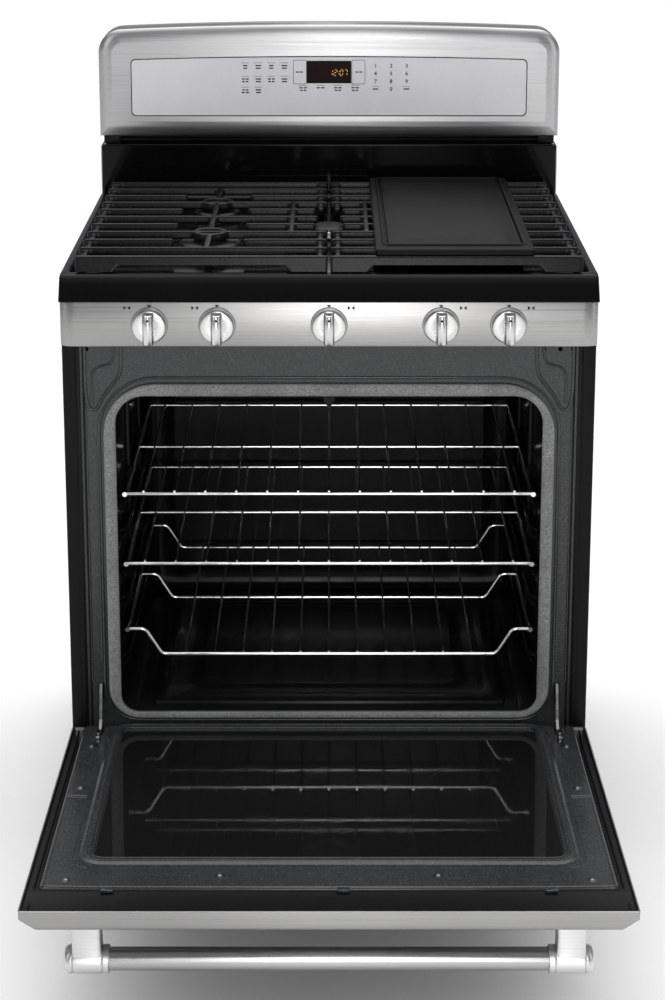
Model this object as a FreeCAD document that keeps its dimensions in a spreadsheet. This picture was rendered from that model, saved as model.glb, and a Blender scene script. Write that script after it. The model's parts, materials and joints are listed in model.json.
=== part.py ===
import FreeCAD, Part
import math
import os
import re

import Sketcher
from FreeCAD import Placement, Rotation, Vector

# Freestanding gas range, modelled with its oven door open.
# Millimetres, +Z up. Every piece is drawn in range coordinates: x = 0 on the middle plane,
# y = 0 on the front face of the oven's face frame with +y towards the wall, z = 0 on the floor.
# Each Placement then carries the piece into the row frame, whose origin is the middle of the
# footprint. The door's pieces are drawn closed and their Placement swings them open.

DIMENSIONS = {
    # overall
    "body_width": 758, "body_back": 660, "deck_top": 914, "total_top": 1192, "sheet_gauge": 2,
    "footprint_middle": 0,
    # how far a cutting tool runs past the metal, and the play of a turning fit
    "run_past": 10, "running_gap": 0.06, "rest_gap": 0.2,
    # floor rails and legs
    "leg_top": 45, "leg_side": 360, "leg_front": 40, "leg_rear": 610, "pad_radius": 16,
    "pad_height": 10, "stud_radius": 5, "rail_width": 32, "rail_height": 12, "rail_front": 10,
    "tie_depth": 30,
    # back sheet, louvres and gas inlet
    "louvre_low": 760, "louvre_rise": 24, "louvre_pitch": 44, "louvre_length": 28,
    "louvre_height": 5, "inlet_side": 250, "inlet_up": 130, "inlet_opening": 22,
    "inlet_radius": 9.3,
    # oven face frame, mouth and cavity
    "frame_low": 190, "frame_top": 814, "strip_width": 17.6, "mouth_width": 611,
    "mouth_low": 252, "mouth_top": 736, "mouth_corner": 42, "cavity_back": 497,
    "face_hole_up": 804, "face_hole_radius": 3,
    "gasket_out": 17, "gasket_under": 10, "gasket_over": 18, "gasket_proud": 7,
    "gasket_corner": 66,
    "ledge_front": 30, "ledge_width": 14, "ledge_height": 6.5, "ledge_drop": 7,
    "floor_side": 262, "floor_front": 22, "floor_depth": 460, "floor_thick": 6,
    "floor_border": 38, "floor_skin": 2,
    # burners, fan and motor
    "bake_up": 208, "bake_front": 60, "bake_length": 400, "bake_half": 150, "bake_middle": 250,
    "tube_radius": 10, "feed_radius": 8, "broil_drop": 18, "broil_front": 40, "broil_rear": 466,
    "broil_feed_side": 80, "broil_feed_front": 440, "shield_side": 110, "shield_front": 60,
    "shield_depth": 390, "shield_drop": 8, "shield_gauge": 1.5, "hanger_side": 6,
    "fan_up": 655, "fan_radius": 52, "fan_deep": 16, "blade_width": 8, "blade_gauge": 2,
    "blade_hub": 11, "cover_radius": 64, "cover_deep": 29, "cover_hole": 3.2,
    "shaft_room": 12, "motor_radius": 40, "motor_length": 52, "motor_gap": 6,
    # door, drawn closed
    "door_low": 201, "door_top": 797, "door_face": -40, "door_back": -12,
    "door_liner_face": -8, "liner_deep": 12, "liner_side_gap": 19, "liner_low_gap": 4,
    "liner_top_gap": 56, "hinge_back": -22, "hinge_up": 219, "hinge_side": 335,
    "door_opening": 87.3, "stem_radius": 4, "window_side": 300, "window_low": 222,
    "window_top": 653, "glass_thick": 4, "glass_lap": 12,
    "slot_low": 262, "slot_width": 8, "slot_height": 34, "liner_slot_width": 10,
    "liner_slot_height": 87, "channel_width": 18, "channel_length": 120, "channel_deep": 20,
    "pocket_width": 20, "pocket_deep": 42, "pocket_low": 254, "pocket_height": 52,
    "arm_gauge": 4, "handle_reach": 60, "handle_down": 52, "handle_radius": 14.5,
    "handle_span": 661, "post_side": 303, "post_width": 38.6, "post_stem": 22,
    "post_height": 32, "sleeve_radius": 18.3, "tip_radius": 16, "foot_thick": 8,
    "foot_height": 42, "screw_radius": 4, "screw_height": 1.6,
    # storage drawer
    "drawer_low": 62, "drawer_top": 186, "drawer_depth": 470, "drawer_side": 330,
    "drawer_thick": 22, "drawer_floor": 20, "drawer_height": 84, "pull_side": 250,
    "pull_height": 19, "glide_up": 72, "glide_size": 6, "runner_width": 22,
    "runner_height": 18, "runner_front": 12, "glide_play": 0.5,
    # control panel and knobs
    "panel_face": -24, "panel_top": 879, "panel_hole": 7, "bezel_radius": 26.5,
    "bezel_bore": 24.2, "bezel_proud": 4, "knob_up": 845, "knob_inner": 157,
    "knob_outer": 252, "knob_radius": 23.2, "knob_proud": 34, "knob_back": -28,
    "skirt_deep": 10, "grip_width": 17, "grip_inset": 1.2, "spindle_front": -50,
    "collar_radius": 6, "collar_deep": 3, "collar_back": -20,
    # gas train
    "pipe_radius": 9, "pipe_deep": 42, "pipe_drop": 14, "pipe_left": 300, "pipe_right": 310,
    "pipe_rear": 602, "pipe_foot": 150, "valve_radius": 11, "valve_front": -12,
    "valve_length": 42, "valve_foot": 14, "regulator_low": 112, "regulator_radius": 24,
    "regulator_height": 36, "boss_radius": 14, "link_radius": 7, "elbow_radius": 11,
    # cooktop
    "deck_front_top": -7, "deck_front_low": -29, "deck_recess": 7, "deck_rim": 14,
    "deck_wall": 3, "deck_skin": 2.5, "recess_front": 4, "burner_side": 176,
    "burner_front": 183, "burner_rear": 413, "burner_middle": 298, "ring_height": 8,
    "plug_radius": 2, "plug_play": 0.6, "cap_height": 5, "crown_height": 2,
    # grates and griddle
    "grate_top": 937, "grate_bar": 9, "bar_height": 12, "spine_width": 10,
    "grate_front": 11, "grate_rear": 575, "grate_inner": 2, "grate_outer": 358,
    "finger_gap": 48, "spine_inset": 60, "short_bar": 56, "ring_outer": 26,
    "ring_inner": 18, "apron_thick": 8, "notch_half": 110, "notch_height": 9,
    "foot_size": 10, "griddle_low": 66, "griddle_high": 290, "griddle_front": 12,
    "griddle_rear": 560, "griddle_top": 949, "griddle_rim": 13, "griddle_lip": 26,
    "griddle_skin": 4.5,
    # backguard
    "guard_front": 596, "guard_low": 1008, "guard_corner": 38, "guard_arch": 9,
    "guard_wall": 24, "guard_skin": 18, "splash_top": 995, "splash_corner": 10,
    "splash_back": 6, "support_front": 14, "support_inset": 22, "tongue_front": 30,
    "tongue_inset": 40, "tongue_thick": 10, "tongue_height": 80, "cover_inset": 29,
    "overlay_side": 326, "overlay_low": 1042, "overlay_top": 1142, "overlay_thick": 1.2,
    "overlay_corner": 8, "display_side": 36.5, "display_low": 1097, "display_top": 1134,
    "display_thick": 1.6, "display_play": 0.1,
    # racks
    "rack_side": 296, "rack_front": 22, "rack_depth": 455, "rack_upper": 581,
    "rack_middle": 474, "rack_lower": 372, "rack_drop": 39, "rack_wire": 3, "rod_wire": 1.6,
    "rack_bend": 12, "drop_foot": 246, "drop_shoulder": 270, "wire_pitch": 44.8,
    "drop_pitch": 42, "wire_sink": 0.8,
}

doc = FreeCAD.newDocument("gas_range")
sheet = doc.addObject("Spreadsheet::Sheet", "dims")
for row, (alias, value) in enumerate(DIMENSIONS.items(), start=1):
    sheet.set(f"A{row}", alias)
    sheet.set(f"B{row}", str(value))
    sheet.setAlias(f"B{row}", alias)
doc.recompute()

SUBPARTS = []
X_AXIS, Y_AXIS, Z_AXIS = Vector(1, 0, 0), Vector(0, 1, 0), Vector(0, 0, 1)
TURN_TO = {"z": Rotation(), "y": Rotation(X_AXIS, -90), "x": Rotation(Y_AXIS, 90)}


def formula(value):
    """An expression in which every alias is read from the sheet."""
    text = str(value)
    return re.sub(r"[a-z_]{3,}", lambda m: f"dims.{m[0]}" if m[0] in DIMENSIONS else m[0], text)


def bind(obj, **values):
    """Bind properties of an object to formulas; a double underscore stands for a dot."""
    for name, value in values.items():
        obj.setExpression(name.replace("__", "."), formula(value))


def place(obj, x, y, z):
    bind(obj, Placement__Base__x=x, Placement__Base__y=y, Placement__Base__z=z)
    return obj


def box(name, x, y, z, length, width, height):
    """A block from its low corner and its three sizes."""
    obj = doc.addObject("Part::Box", name)
    bind(obj, Length=length, Width=width, Height=height)
    return place(obj, x, y, z)


def mid_box(name, half, y, z, width, height):
    """A block that is symmetric about the middle plane."""
    return box(name, f"-({half})", y, z, f"2 * ({half})", width, height)


def rod(name, axis, x, y, z, radius, length):
    """A cylinder that starts at a point and runs along one axis."""
    obj = doc.addObject("Part::Cylinder", name)
    obj.Placement = Placement(Vector(), TURN_TO[axis])
    bind(obj, Radius=radius, Height=length)
    return place(obj, x, y, z)


def cone(name, axis, x, y, z, radius, end_radius, length):
    obj = doc.addObject("Part::Cone", name)
    obj.Placement = Placement(Vector(), TURN_TO[axis])
    bind(obj, Radius1=radius, Radius2=end_radius, Height=length)
    return place(obj, x, y, z)


def fuse(name, pieces):
    obj = doc.addObject("Part::MultiFuse", name)
    obj.Shapes = pieces
    return obj


def group(name, pieces):
    """Separate solids that share one node."""
    obj = doc.addObject("Part::Compound", name)
    obj.Links = pieces
    return obj


def cut(name, base, tool):
    obj = doc.addObject("Part::Cut", name)
    obj.Base = base
    obj.Tool = tool
    return obj


def common(name, pieces):
    obj = doc.addObject("Part::MultiCommon", name)
    obj.Shapes = pieces
    return obj


def own_placement(obj):
    """A bare primitive is held in a group, so that the piece has a Placement to itself."""
    if obj.TypeId in ("Part::Box", "Part::Cylinder"):
        return group(obj.Name + "Piece", [obj])
    return obj


def in_cabinet(obj, label):
    """Name a finished piece and move it into the row frame."""
    obj = own_placement(obj)
    obj.Label = label
    bind(obj, Placement__Base__y="-footprint_middle")
    SUBPARTS.append(obj)
    return obj


def on_door(obj, label):
    """Name a finished door piece and swing it open about the hinge axis."""
    obj = own_placement(obj)
    obj.Label = label
    obj.Placement = Placement(Vector(), Rotation(X_AXIS, DIMENSIONS["door_opening"]))
    swing = "door_opening * 1 deg"
    bind(
        obj,
        Placement__Rotation__Angle=swing,
        Placement__Base__y=f"hinge_back * (1 - cos({swing})) + hinge_up * sin({swing})"
                           " - footprint_middle",
        Placement__Base__z=f"hinge_up * (1 - cos({swing})) - hinge_back * sin({swing})",
    )
    SUBPARTS.append(obj)
    return obj


def new_body(name):
    return doc.addObject("PartDesign::Body", name)


def sketch_on(body, role, offset, name):
    """A sketch on an origin plane of the body, moved along the plane's normal."""
    sketch = body.newObject("Sketcher::SketchObject", name)
    plane = next(item for item in body.Origin.OriginFeatures if item.Role == role)
    sketch.AttachmentSupport = [(plane, "")]
    sketch.MapMode = "FlatFace"
    bind(sketch, AttachmentOffset__Base__z=offset)
    return sketch


def polygon(sketch, corners):
    """A closed outline whose every corner is bound to a pair of formulas."""
    first = sketch.GeometryCount
    count = len(corners)
    turn = 2 * math.pi / count
    start = [Vector(math.cos(k * turn), math.sin(k * turn), 0) for k in range(count)]
    for k in range(count):
        sketch.addGeometry(Part.LineSegment(start[k], start[(k + 1) % count]))
    for k, (across, up) in enumerate(corners):
        before = first + (k - 1) % count
        sketch.addConstraint(Sketcher.Constraint("Coincident", before, 2, first + k, 1))
        for kind, value in (("DistanceX", across), ("DistanceY", up)):
            index = sketch.addConstraint(Sketcher.Constraint(kind, -1, 1, first + k, 1, 1.0))
            sketch.setExpression(f"Constraints[{index}]", formula(value))


def rectangle(sketch, left, right, low, high):
    polygon(sketch, [(left, low), (right, low), (right, high), (left, high)])


def extrude(body, kind, sketch, length, reverse=False):
    feature = body.newObject(f"PartDesign::{kind}", sketch.Name + kind)
    feature.Profile = sketch
    feature.Reversed = reverse
    bind(feature, Length=length)
    doc.recompute()
    return feature


def round_edges(body, radius, wanted):
    """Round the edges of the body's tip that the test picks."""
    doc.recompute()
    base = body.Tip
    names = [f"Edge{k}" for k, edge in enumerate(base.Shape.Edges, start=1) if wanted(edge)]
    feature = body.newObject("PartDesign::Fillet", body.Name + "Round")
    feature.Base = (base, names)
    bind(feature, Radius=radius)
    doc.recompute()
    return feature


def runs_along(edge, axis):
    """True for a straight edge along an axis."""
    if not isinstance(edge.Curve, Part.Line):
        return False
    return abs(edge.tangentAt(edge.FirstParameter).dot(axis)) > 0.999


def front_plate(name, left, right, low, high, face, depth, corner=0):
    """A body: an upright plate facing the cook, its corners rounded as seen from the front."""
    body = new_body(name)
    sketch = sketch_on(body, "XZ_Plane", f"-({face})", name + "Outline")
    rectangle(sketch, left, right, low, high)
    extrude(body, "Pad", sketch, depth, reverse=True)
    if corner:
        round_edges(body, corner, lambda edge: runs_along(edge, Y_AXIS))
    return body


def size_of(alias):
    return float(sheet.get(alias))


# ---------------------------------------------------------------- cabinet

def build_base():
    """Floor rails on four threaded legs."""
    rails = [
        box(f"rail{side}", f"{side} * leg_side - rail_width / 2", "rail_front", "leg_top",
            "rail_width", "body_back - 2 * rail_front", "rail_height")
        for side in (-1, 1)
    ]
    ties = [
        mid_box(f"tie{k}", "leg_side - rail_width / 2 + 1", y, "leg_top", "tie_depth",
                "rail_height")
        for k, y in enumerate(("rail_front", "body_back / 2 - rail_front", "leg_rear"))
    ]
    in_cabinet(fuse("baseFrame", rails + ties), "base_frame")

    legs = []
    for side in (-1, 1):
        x = f"{side} * leg_side"
        for k, y in enumerate(("leg_front", "leg_rear")):
            pad = rod(f"pad{side}{k}", "z", x, y, 0, "pad_radius", "pad_height")
            stud = rod(f"stud{side}{k}", "z", x, y, "pad_height - 2", "stud_radius",
                       "leg_top - pad_height + 2")
            legs.append(fuse(f"leg{side}{k}", [pad, stud]))
    in_cabinet(group("legs", legs), "leveling_legs")


def build_side_panel(side, label):
    """A sheet side with a front strip and a rear flange, bent from one blank."""
    body = new_body(label + "Body")
    outer, skin = f"{side} * body_width / 2", f"{side} * (body_width / 2 - sheet_gauge)"
    strip = f"{side} * (body_width / 2 - strip_width)"
    rear = "body_back - sheet_gauge"
    sketch = sketch_on(body, "XY_Plane", "leg_top + rail_height", label + "Section")
    polygon(sketch, [
        (outer, 0), (strip, 0), (strip, "sheet_gauge"), (skin, "sheet_gauge"),
        (skin, f"{rear} - sheet_gauge"), (strip, f"{rear} - sheet_gauge"), (strip, rear),
        (outer, rear),
    ])
    extrude(body, "Pad", sketch, "panel_top - leg_top - rail_height")
    in_cabinet(body, label)


def build_rear_panel():
    """The back sheet, with two rows of cooling louvres and the gas inlet's hole."""
    low = "leg_top + rail_height"
    sheet_metal = mid_box("rearSheet", "body_width / 2", "body_back - sheet_gauge", low,
                          "sheet_gauge", f"panel_top - ({low})")
    behind = "body_back - run_past"
    openings = [rod("inletHole", "y", "inlet_side", behind, "inlet_up", "inlet_opening",
                    "2 * run_past")]
    for row in range(2):
        for column in range(-6, 7):
            openings.append(box(f"vent{row}_{column + 6}",
                                f"{column} * louvre_pitch - louvre_length / 2", behind,
                                f"louvre_low + {row} * louvre_rise", "louvre_length",
                                "2 * run_past", "louvre_height"))
    in_cabinet(cut("rearPanel", sheet_metal, fuse("rearOpenings", openings)), "rear_panel")


FACE_HOLES = (-344, 305, 328, 346)


def build_face_frame():
    """The enamelled face of the oven, with its mouth, hinge slots and small holes."""
    half = "body_width / 2 - strip_width - rest_gap"
    plate = mid_box("faceBlank", half, 0, "frame_low", "sheet_gauge", "frame_top - frame_low")
    tools = [front_plate("faceMouth", "-mouth_width / 2", "mouth_width / 2", "mouth_low",
                         "mouth_top", "-run_past", "2 * run_past", "mouth_corner")]
    for side in (-1, 1):
        tools.append(box(f"hingeSlot{side}", f"{side} * hinge_side - slot_width / 2",
                         "-run_past", "slot_low", "slot_width", "2 * run_past", "slot_height"))
    for k, x in enumerate(FACE_HOLES):
        tools.append(rod(f"faceHole{k}", "y", x, "-run_past", "face_hole_up",
                         "face_hole_radius", "2 * run_past"))
    in_cabinet(cut("faceFrame", plate, fuse("faceOpenings", tools)), "oven_front_frame")


def build_gasket():
    """The woven seal round the oven's mouth."""
    outer = front_plate("gasketOuter", "-mouth_width / 2 - gasket_out",
                        "mouth_width / 2 + gasket_out", "mouth_low - gasket_under",
                        "mouth_top + gasket_over", "-gasket_proud", "gasket_proud",
                        "gasket_corner")
    inner = front_plate("gasketInner", "-mouth_width / 2", "mouth_width / 2", "mouth_low",
                        "mouth_top", "-run_past", "2 * run_past", "mouth_corner")
    in_cabinet(cut("gasket", outer, inner), "oven_gasket")


RACK_LEDGES = (332, 372, 423, 474, 528, 581)


def build_oven():
    """The enamelled cavity with its rack ledges, and the floor cover."""
    gauge = "sheet_gauge"
    shell = front_plate("linerShell", f"-mouth_width / 2 - {gauge}", f"mouth_width / 2 + {gauge}",
                        f"mouth_low - {gauge}", f"mouth_top + {gauge}", gauge,
                        "cavity_back", f"mouth_corner + {gauge}")
    room = front_plate("linerRoom", "-mouth_width / 2", "mouth_width / 2", "mouth_low",
                       "mouth_top", -1, "cavity_back + 1", "mouth_corner")
    shaft_hole = rod("shaftHole", "y", 0, "cavity_back - run_past", "fan_up", "shaft_room",
                     "2 * run_past")
    pieces = [cut("linerWalls", shell, fuse("linerHollow", [room, shaft_hole]))]
    for side in (-1, 1):
        wall = f"{side} * mouth_width / 2"
        for k, ledge in enumerate(RACK_LEDGES):
            pieces.append(box(f"ledge{side}{k}", f"min({wall}; {wall} - {side} * ledge_width)",
                              "ledge_front", f"{ledge} - rack_wire - ledge_drop", "ledge_width",
                              "cavity_back - ledge_front - run_past", "ledge_height"))
    in_cabinet(fuse("ovenLiner", pieces), "oven_liner")

    floor_blank = mid_box("floorBlank", "floor_side", "floor_front", "mouth_low", "floor_depth",
                          "floor_thick")
    floor_well = mid_box("floorWell", "floor_side - floor_border", "floor_front + floor_border",
                         "mouth_low + floor_skin", "floor_depth - 2 * floor_border",
                         "run_past")
    in_cabinet(cut("ovenFloor", floor_blank, floor_well), "oven_floor")


COVER_HOLES = ((18, 8), (34, 14), (50, 20))
FAN_BLADES = 6


def build_oven_fittings():
    """Burners, and the fan with its housing and motor."""
    bake = [
        rod("bakeTube", "y", 0, "bake_front", "bake_up", "tube_radius", "bake_length"),
        rod("bakeCross", "x", "-bake_half", "bake_middle", "bake_up", "tube_radius - 1",
            "2 * bake_half"),
    ]
    in_cabinet(fuse("bakeBurner", bake), "bake_burner")

    broil_up = "mouth_top - broil_drop"
    shield_up = "mouth_top - shield_drop"
    broil = [
        rod("broilTube", "y", 0, "broil_front", broil_up, "tube_radius",
            "broil_rear - broil_front"),
        rod("broilCross", "x", 0, "broil_feed_front", broil_up, "feed_radius - 1",
            "broil_feed_side"),
        rod("broilFeed", "y", "broil_feed_side", "broil_feed_front - 2 * feed_radius", broil_up,
            "feed_radius", "cavity_back - sheet_gauge - broil_feed_front + 2 * feed_radius"),
        mid_box("broilShield", "shield_side", "shield_front", shield_up, "shield_depth",
                "shield_gauge"),
        mid_box("broilHanger", "hanger_side", "shield_front + broil_front", shield_up,
                "2 * run_past", "shield_drop"),
    ]
    in_cabinet(fuse("broilBurner", broil), "broil_burner")

    cover_front = "cavity_back - cover_deep"
    cup = rod("coverCup", "y", 0, cover_front, "fan_up", "cover_radius", "cover_deep")
    room = rod("coverRoom", "y", 0, f"{cover_front} + sheet_gauge", "fan_up",
               "cover_radius - sheet_gauge", "cover_deep")
    holes = []
    for ring, (radius, count) in enumerate(COVER_HOLES):
        for k in range(count):
            turn = 2 * math.pi * k / count
            holes.append(rod(f"coverHole{ring}_{k}", "y", radius * math.cos(turn),
                             f"{cover_front} - run_past", f"fan_up + {radius * math.sin(turn):.3f}",
                             "cover_hole", "2 * run_past"))
    in_cabinet(cut("fanCover", cup, fuse("coverTools", [room] + holes)), "fan_cover")

    can = rod("motorCan", "y", 0, "cavity_back + motor_gap", "fan_up", "motor_radius",
              "motor_length")
    bore = rod("motorBore", "y", 0, "cavity_back", "fan_up", "stem_radius + running_gap",
               "motor_radius")
    in_cabinet(cut("fanMotor", can, bore), "fan_motor")

    hub_front = "cavity_back - fan_deep - blade_gauge"
    hub = rod("fanHub", "y", 0, hub_front, "fan_up", "blade_hub", "blade_hub + 1")
    shaft = rod("fanShaft", "y", 0, hub_front, "fan_up", "stem_radius", "motor_length - 2")
    blades = []
    for k in range(FAN_BLADES):
        blade = box(f"blade{k}", 0, 0, 0, "fan_radius", "blade_width", "blade_gauge")
        blade.Placement = Placement(Vector(), Rotation(Y_AXIS, k * 360 / FAN_BLADES))
        place(blade, 0, "cavity_back - fan_deep", "fan_up")
        blades.append(blade)
    in_cabinet(fuse("convectionFan", [hub, shaft] + blades), "convection_fan")


# The arm's side view as pairs of y and z: an eye round the pin, a neck and a toothed hook.
ARM_OUTLINE = [
    ("hinge_back - 8", "hinge_up - 6"), ("hinge_back + 8", "hinge_up - 6"),
    (-3, 254), (-3, 264), (2.5, 266), (24, 264), (34, 272), (34, 290), (4, 292),
    (-3, 296), (-9, 284), (-11, 268), (-16, 260), (-18, 246), ("hinge_back - 8", 236),
]


def build_hinges():
    """Frame pockets and the steel arms that carry the door."""
    pockets = []
    arms = []
    for side in (-1, 1):
        middle = f"{side} * hinge_side"
        outer = box(f"pocketOuter{side}", f"{middle} - pocket_width / 2", "sheet_gauge",
                    "pocket_low", "pocket_width", "pocket_deep", "pocket_height")
        inner = box(f"pocketInner{side}", f"{middle} - slot_width / 2 - 0.5", 0,
                    "slot_low - 1", "slot_width + 1", "pocket_deep - 1", "slot_height + 4")
        pockets.append(cut(f"pocket{side}", outer, inner))

        body = new_body(f"armBody{side}")
        sketch = sketch_on(body, "YZ_Plane", f"{middle} - arm_gauge / 2", f"armOutline{side}")
        polygon(sketch, ARM_OUTLINE)
        extrude(body, "Pad", sketch, "arm_gauge")
        hole = rod(f"pinHole{side}", "x", f"{middle} - run_past", "hinge_back", "hinge_up",
                   "stem_radius + running_gap", "2 * run_past")
        arms.append(cut(f"arm{side}", body, hole))
    in_cabinet(group("hingePockets", pockets), "hinge_receivers")
    in_cabinet(group("hingeArms", arms), "hinge_arms")


# ---------------------------------------------------------------- cooktop and controls

KNOBS = {"1": "-knob_outer", "2": "-knob_inner", "3": "0", "4": "knob_inner", "5": "knob_outer"}
BURNERS = {
    "front_left": ("-burner_side", "burner_front", 46),
    "rear_left": ("-burner_side", "burner_rear", 36),
    "center": ("0", "burner_middle", 30),
    "front_right": ("burner_side", "burner_front", 46),
    "rear_right": ("burner_side", "burner_rear", 36),
}


# How far each turned step of a burner lies inside its cap's edge.
RING_INSET, PLUG_INSET, HOLE_INSET, THROAT_INSET, BORE_INSET, SPIGOT_INSET = 4, 9, 10, 14, 18, 18.5


def build_cooktop():
    """The enamelled deck: a sloping front, a raised rim and a hollow underside."""
    body = new_body("deckBody")
    profile = sketch_on(body, "YZ_Plane", "-body_width / 2", "deckProfile")
    polygon(profile, [
        ("deck_front_low", "panel_top"), ("guard_front", "panel_top"),
        ("guard_front", "deck_top"), ("deck_front_top", "deck_top"),
    ])
    extrude(body, "Pad", profile, "body_width")
    recess = sketch_on(body, "XY_Plane", "deck_top", "deckRecess")
    rectangle(recess, "deck_rim - body_width / 2", "body_width / 2 - deck_rim", "recess_front",
              "guard_front - deck_rim")
    extrude(body, "Pocket", recess, "deck_recess")
    under = sketch_on(body, "XY_Plane", "panel_top", "deckUnder")
    rectangle(under, "deck_wall - body_width / 2", "body_width / 2 - deck_wall",
              "deck_front_top + deck_wall", "guard_front - deck_wall")
    extrude(body, "Pocket", under, "deck_top - panel_top - deck_recess - deck_skin",
            reverse=True)
    throats = []
    for name, (x, y, radius) in BURNERS.items():
        throats.append(rod(f"deckHole_{name}", "z", x, y, "panel_top", radius - HOLE_INSET,
                           "deck_top - panel_top + run_past"))
    in_cabinet(cut("deck", body, fuse("deckHoles", throats)), "cooktop")


def build_burners():
    """Gas rings on the deck, their spark plugs and their loose caps."""
    bases, plugs = [], []
    ring_low = "deck_top - deck_recess"
    cap_low = f"{ring_low} + ring_height + rest_gap"
    throat_low = "panel_top - run_past"
    for name, (x, y, radius) in BURNERS.items():
        plug_y = f"{y} - {radius - PLUG_INSET}"
        ring = rod(f"ring_{name}", "z", x, y, ring_low, radius - RING_INSET, "ring_height")
        throat = rod(f"throat_{name}", "z", x, y, throat_low, radius - THROAT_INSET,
                     f"{ring_low} - ({throat_low}) + 1")
        bore = rod(f"ringBore_{name}", "z", x, y, f"{throat_low} - 1", radius - BORE_INSET,
                   "deck_top - panel_top + 2 * run_past")
        plug_hole = rod(f"plugHole_{name}", "z", x, plug_y, ring_low,
                        "plug_radius + plug_play", "2 * run_past")
        bases.append(cut(f"base_{name}", fuse(f"baseBlank_{name}", [ring, throat]),
                         fuse(f"baseTools_{name}", [bore, plug_hole])))
        plugs.append(rod(f"plug_{name}", "z", x, plug_y, ring_low, "plug_radius",
                         "ring_height"))
        disc = rod(f"capDisc_{name}", "z", x, y, cap_low, radius, "cap_height")
        crown = cone(f"capCrown_{name}", "z", x, y, f"{cap_low} + cap_height", radius,
                     radius - RING_INSET, "crown_height")
        spigot = rod(f"capSpigot_{name}", "z", x, y, f"{cap_low} - cap_height",
                     radius - SPIGOT_INSET, "cap_height + 1")
        in_cabinet(fuse(f"cap_{name}", [disc, crown, spigot]), f"burner_cap_{name}")
    in_cabinet(group("burnerBases", bases), "burner_bases")
    in_cabinet(group("sparkPlugs", plugs), "igniters")


def build_gas_train():
    """Manifold pipe, valves, their spindles, and the regulator at the back."""
    pipe_up = "knob_up - pipe_drop"
    manifold = [
        rod("manifoldPipe", "x", "-pipe_left", "pipe_deep", pipe_up, "pipe_radius",
            "pipe_left + pipe_right + run_past"),
        rod("feedPipe", "y", "pipe_right", "pipe_deep", pipe_up, "pipe_radius",
            "pipe_rear - pipe_deep"),
        rod("feedDrop", "z", "pipe_right", "pipe_rear", "pipe_foot", "pipe_radius",
            f"{pipe_up} - pipe_foot"),
    ]
    in_cabinet(fuse("manifold", manifold), "gas_manifold")

    valves = []
    for name, x in KNOBS.items():
        barrel = rod(f"valveBarrel{name}", "y", x, "valve_front", "knob_up", "valve_radius",
                     "valve_length")
        foot = box(f"valveFoot{name}", f"{x} - valve_foot / 2", "pipe_deep - 16", pipe_up,
                   "valve_foot", 30, "valve_foot")
        bore = rod(f"valveBore{name}", "y", x, "valve_front - run_past", "knob_up",
                   "stem_radius + running_gap", 32)
        pipe_seat = rod(f"valveSeat{name}", "x", f"{x} - 2 * run_past", "pipe_deep", pipe_up,
                        "pipe_radius", "4 * run_past")
        valves.append(cut(f"valve{name}", fuse(f"valveBlank{name}", [barrel, foot]),
                          fuse(f"valveTools{name}", [bore, pipe_seat])))
    in_cabinet(group("valves", valves), "gas_valves")

    boss_length = "body_back - pipe_rear - run_past"
    can = rod("regulatorCan", "z", "inlet_side", "pipe_rear", "regulator_low",
              "regulator_radius", "regulator_height")
    inlet = rod("regulatorInlet", "y", "inlet_side", "pipe_rear", "inlet_up", "boss_radius",
                boss_length)
    bore = rod("regulatorBore", "y", "inlet_side", f"pipe_rear + {boss_length} - 2 * run_past",
               "inlet_up", "inlet_radius", "4 * run_past")
    link = rod("regulatorLink", "x", "inlet_side", "pipe_rear", "inlet_up + run_past",
               "link_radius", "pipe_right - inlet_side - 6")
    elbow = rod("regulatorElbow", "z", "pipe_right", "pipe_rear", "inlet_up - 2",
                "elbow_radius", "pipe_foot - inlet_up + 2")
    in_cabinet(cut("regulator", fuse("regulatorBlank", [can, inlet, link, elbow]), bore),
               "gas_regulator")


def build_control_panel():
    """The stainless panel, bent back at both ends, with a bezel round each knob."""
    body = new_body("panelBody")
    plan = sketch_on(body, "XY_Plane", "frame_top", "panelPlan")
    outer = "body_width / 2 - 1"
    inner = f"{outer} - sheet_gauge"
    polygon(plan, [
        (f"-({outer})", 0), (f"-({outer})", "panel_face"), (outer, "panel_face"), (outer, 0),
        (inner, 0), (inner, "panel_face + sheet_gauge"),
        (f"-({inner})", "panel_face + sheet_gauge"), (f"-({inner})", 0),
    ])
    extrude(body, "Pad", plan, "panel_top - frame_top")
    before = "panel_face - run_past"
    holes, bezels = [], []
    for name, x in KNOBS.items():
        holes.append(rod(f"panelHole{name}", "y", x, before, "knob_up", "panel_hole",
                         "2 * run_past"))
        blank = rod(f"bezelBlank{name}", "y", x, "panel_face - bezel_proud", "knob_up",
                    "bezel_radius", "bezel_proud")
        opening = rod(f"bezelOpening{name}", "y", x, before, "knob_up", "bezel_bore",
                      "2 * run_past")
        bezels.append(cut(f"bezel{name}", blank, opening))
    sheet_metal = cut("panelSheet", body, fuse("panelHoles", holes))
    in_cabinet(fuse("controlPanel", [sheet_metal] + bezels), "control_panel")


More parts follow.
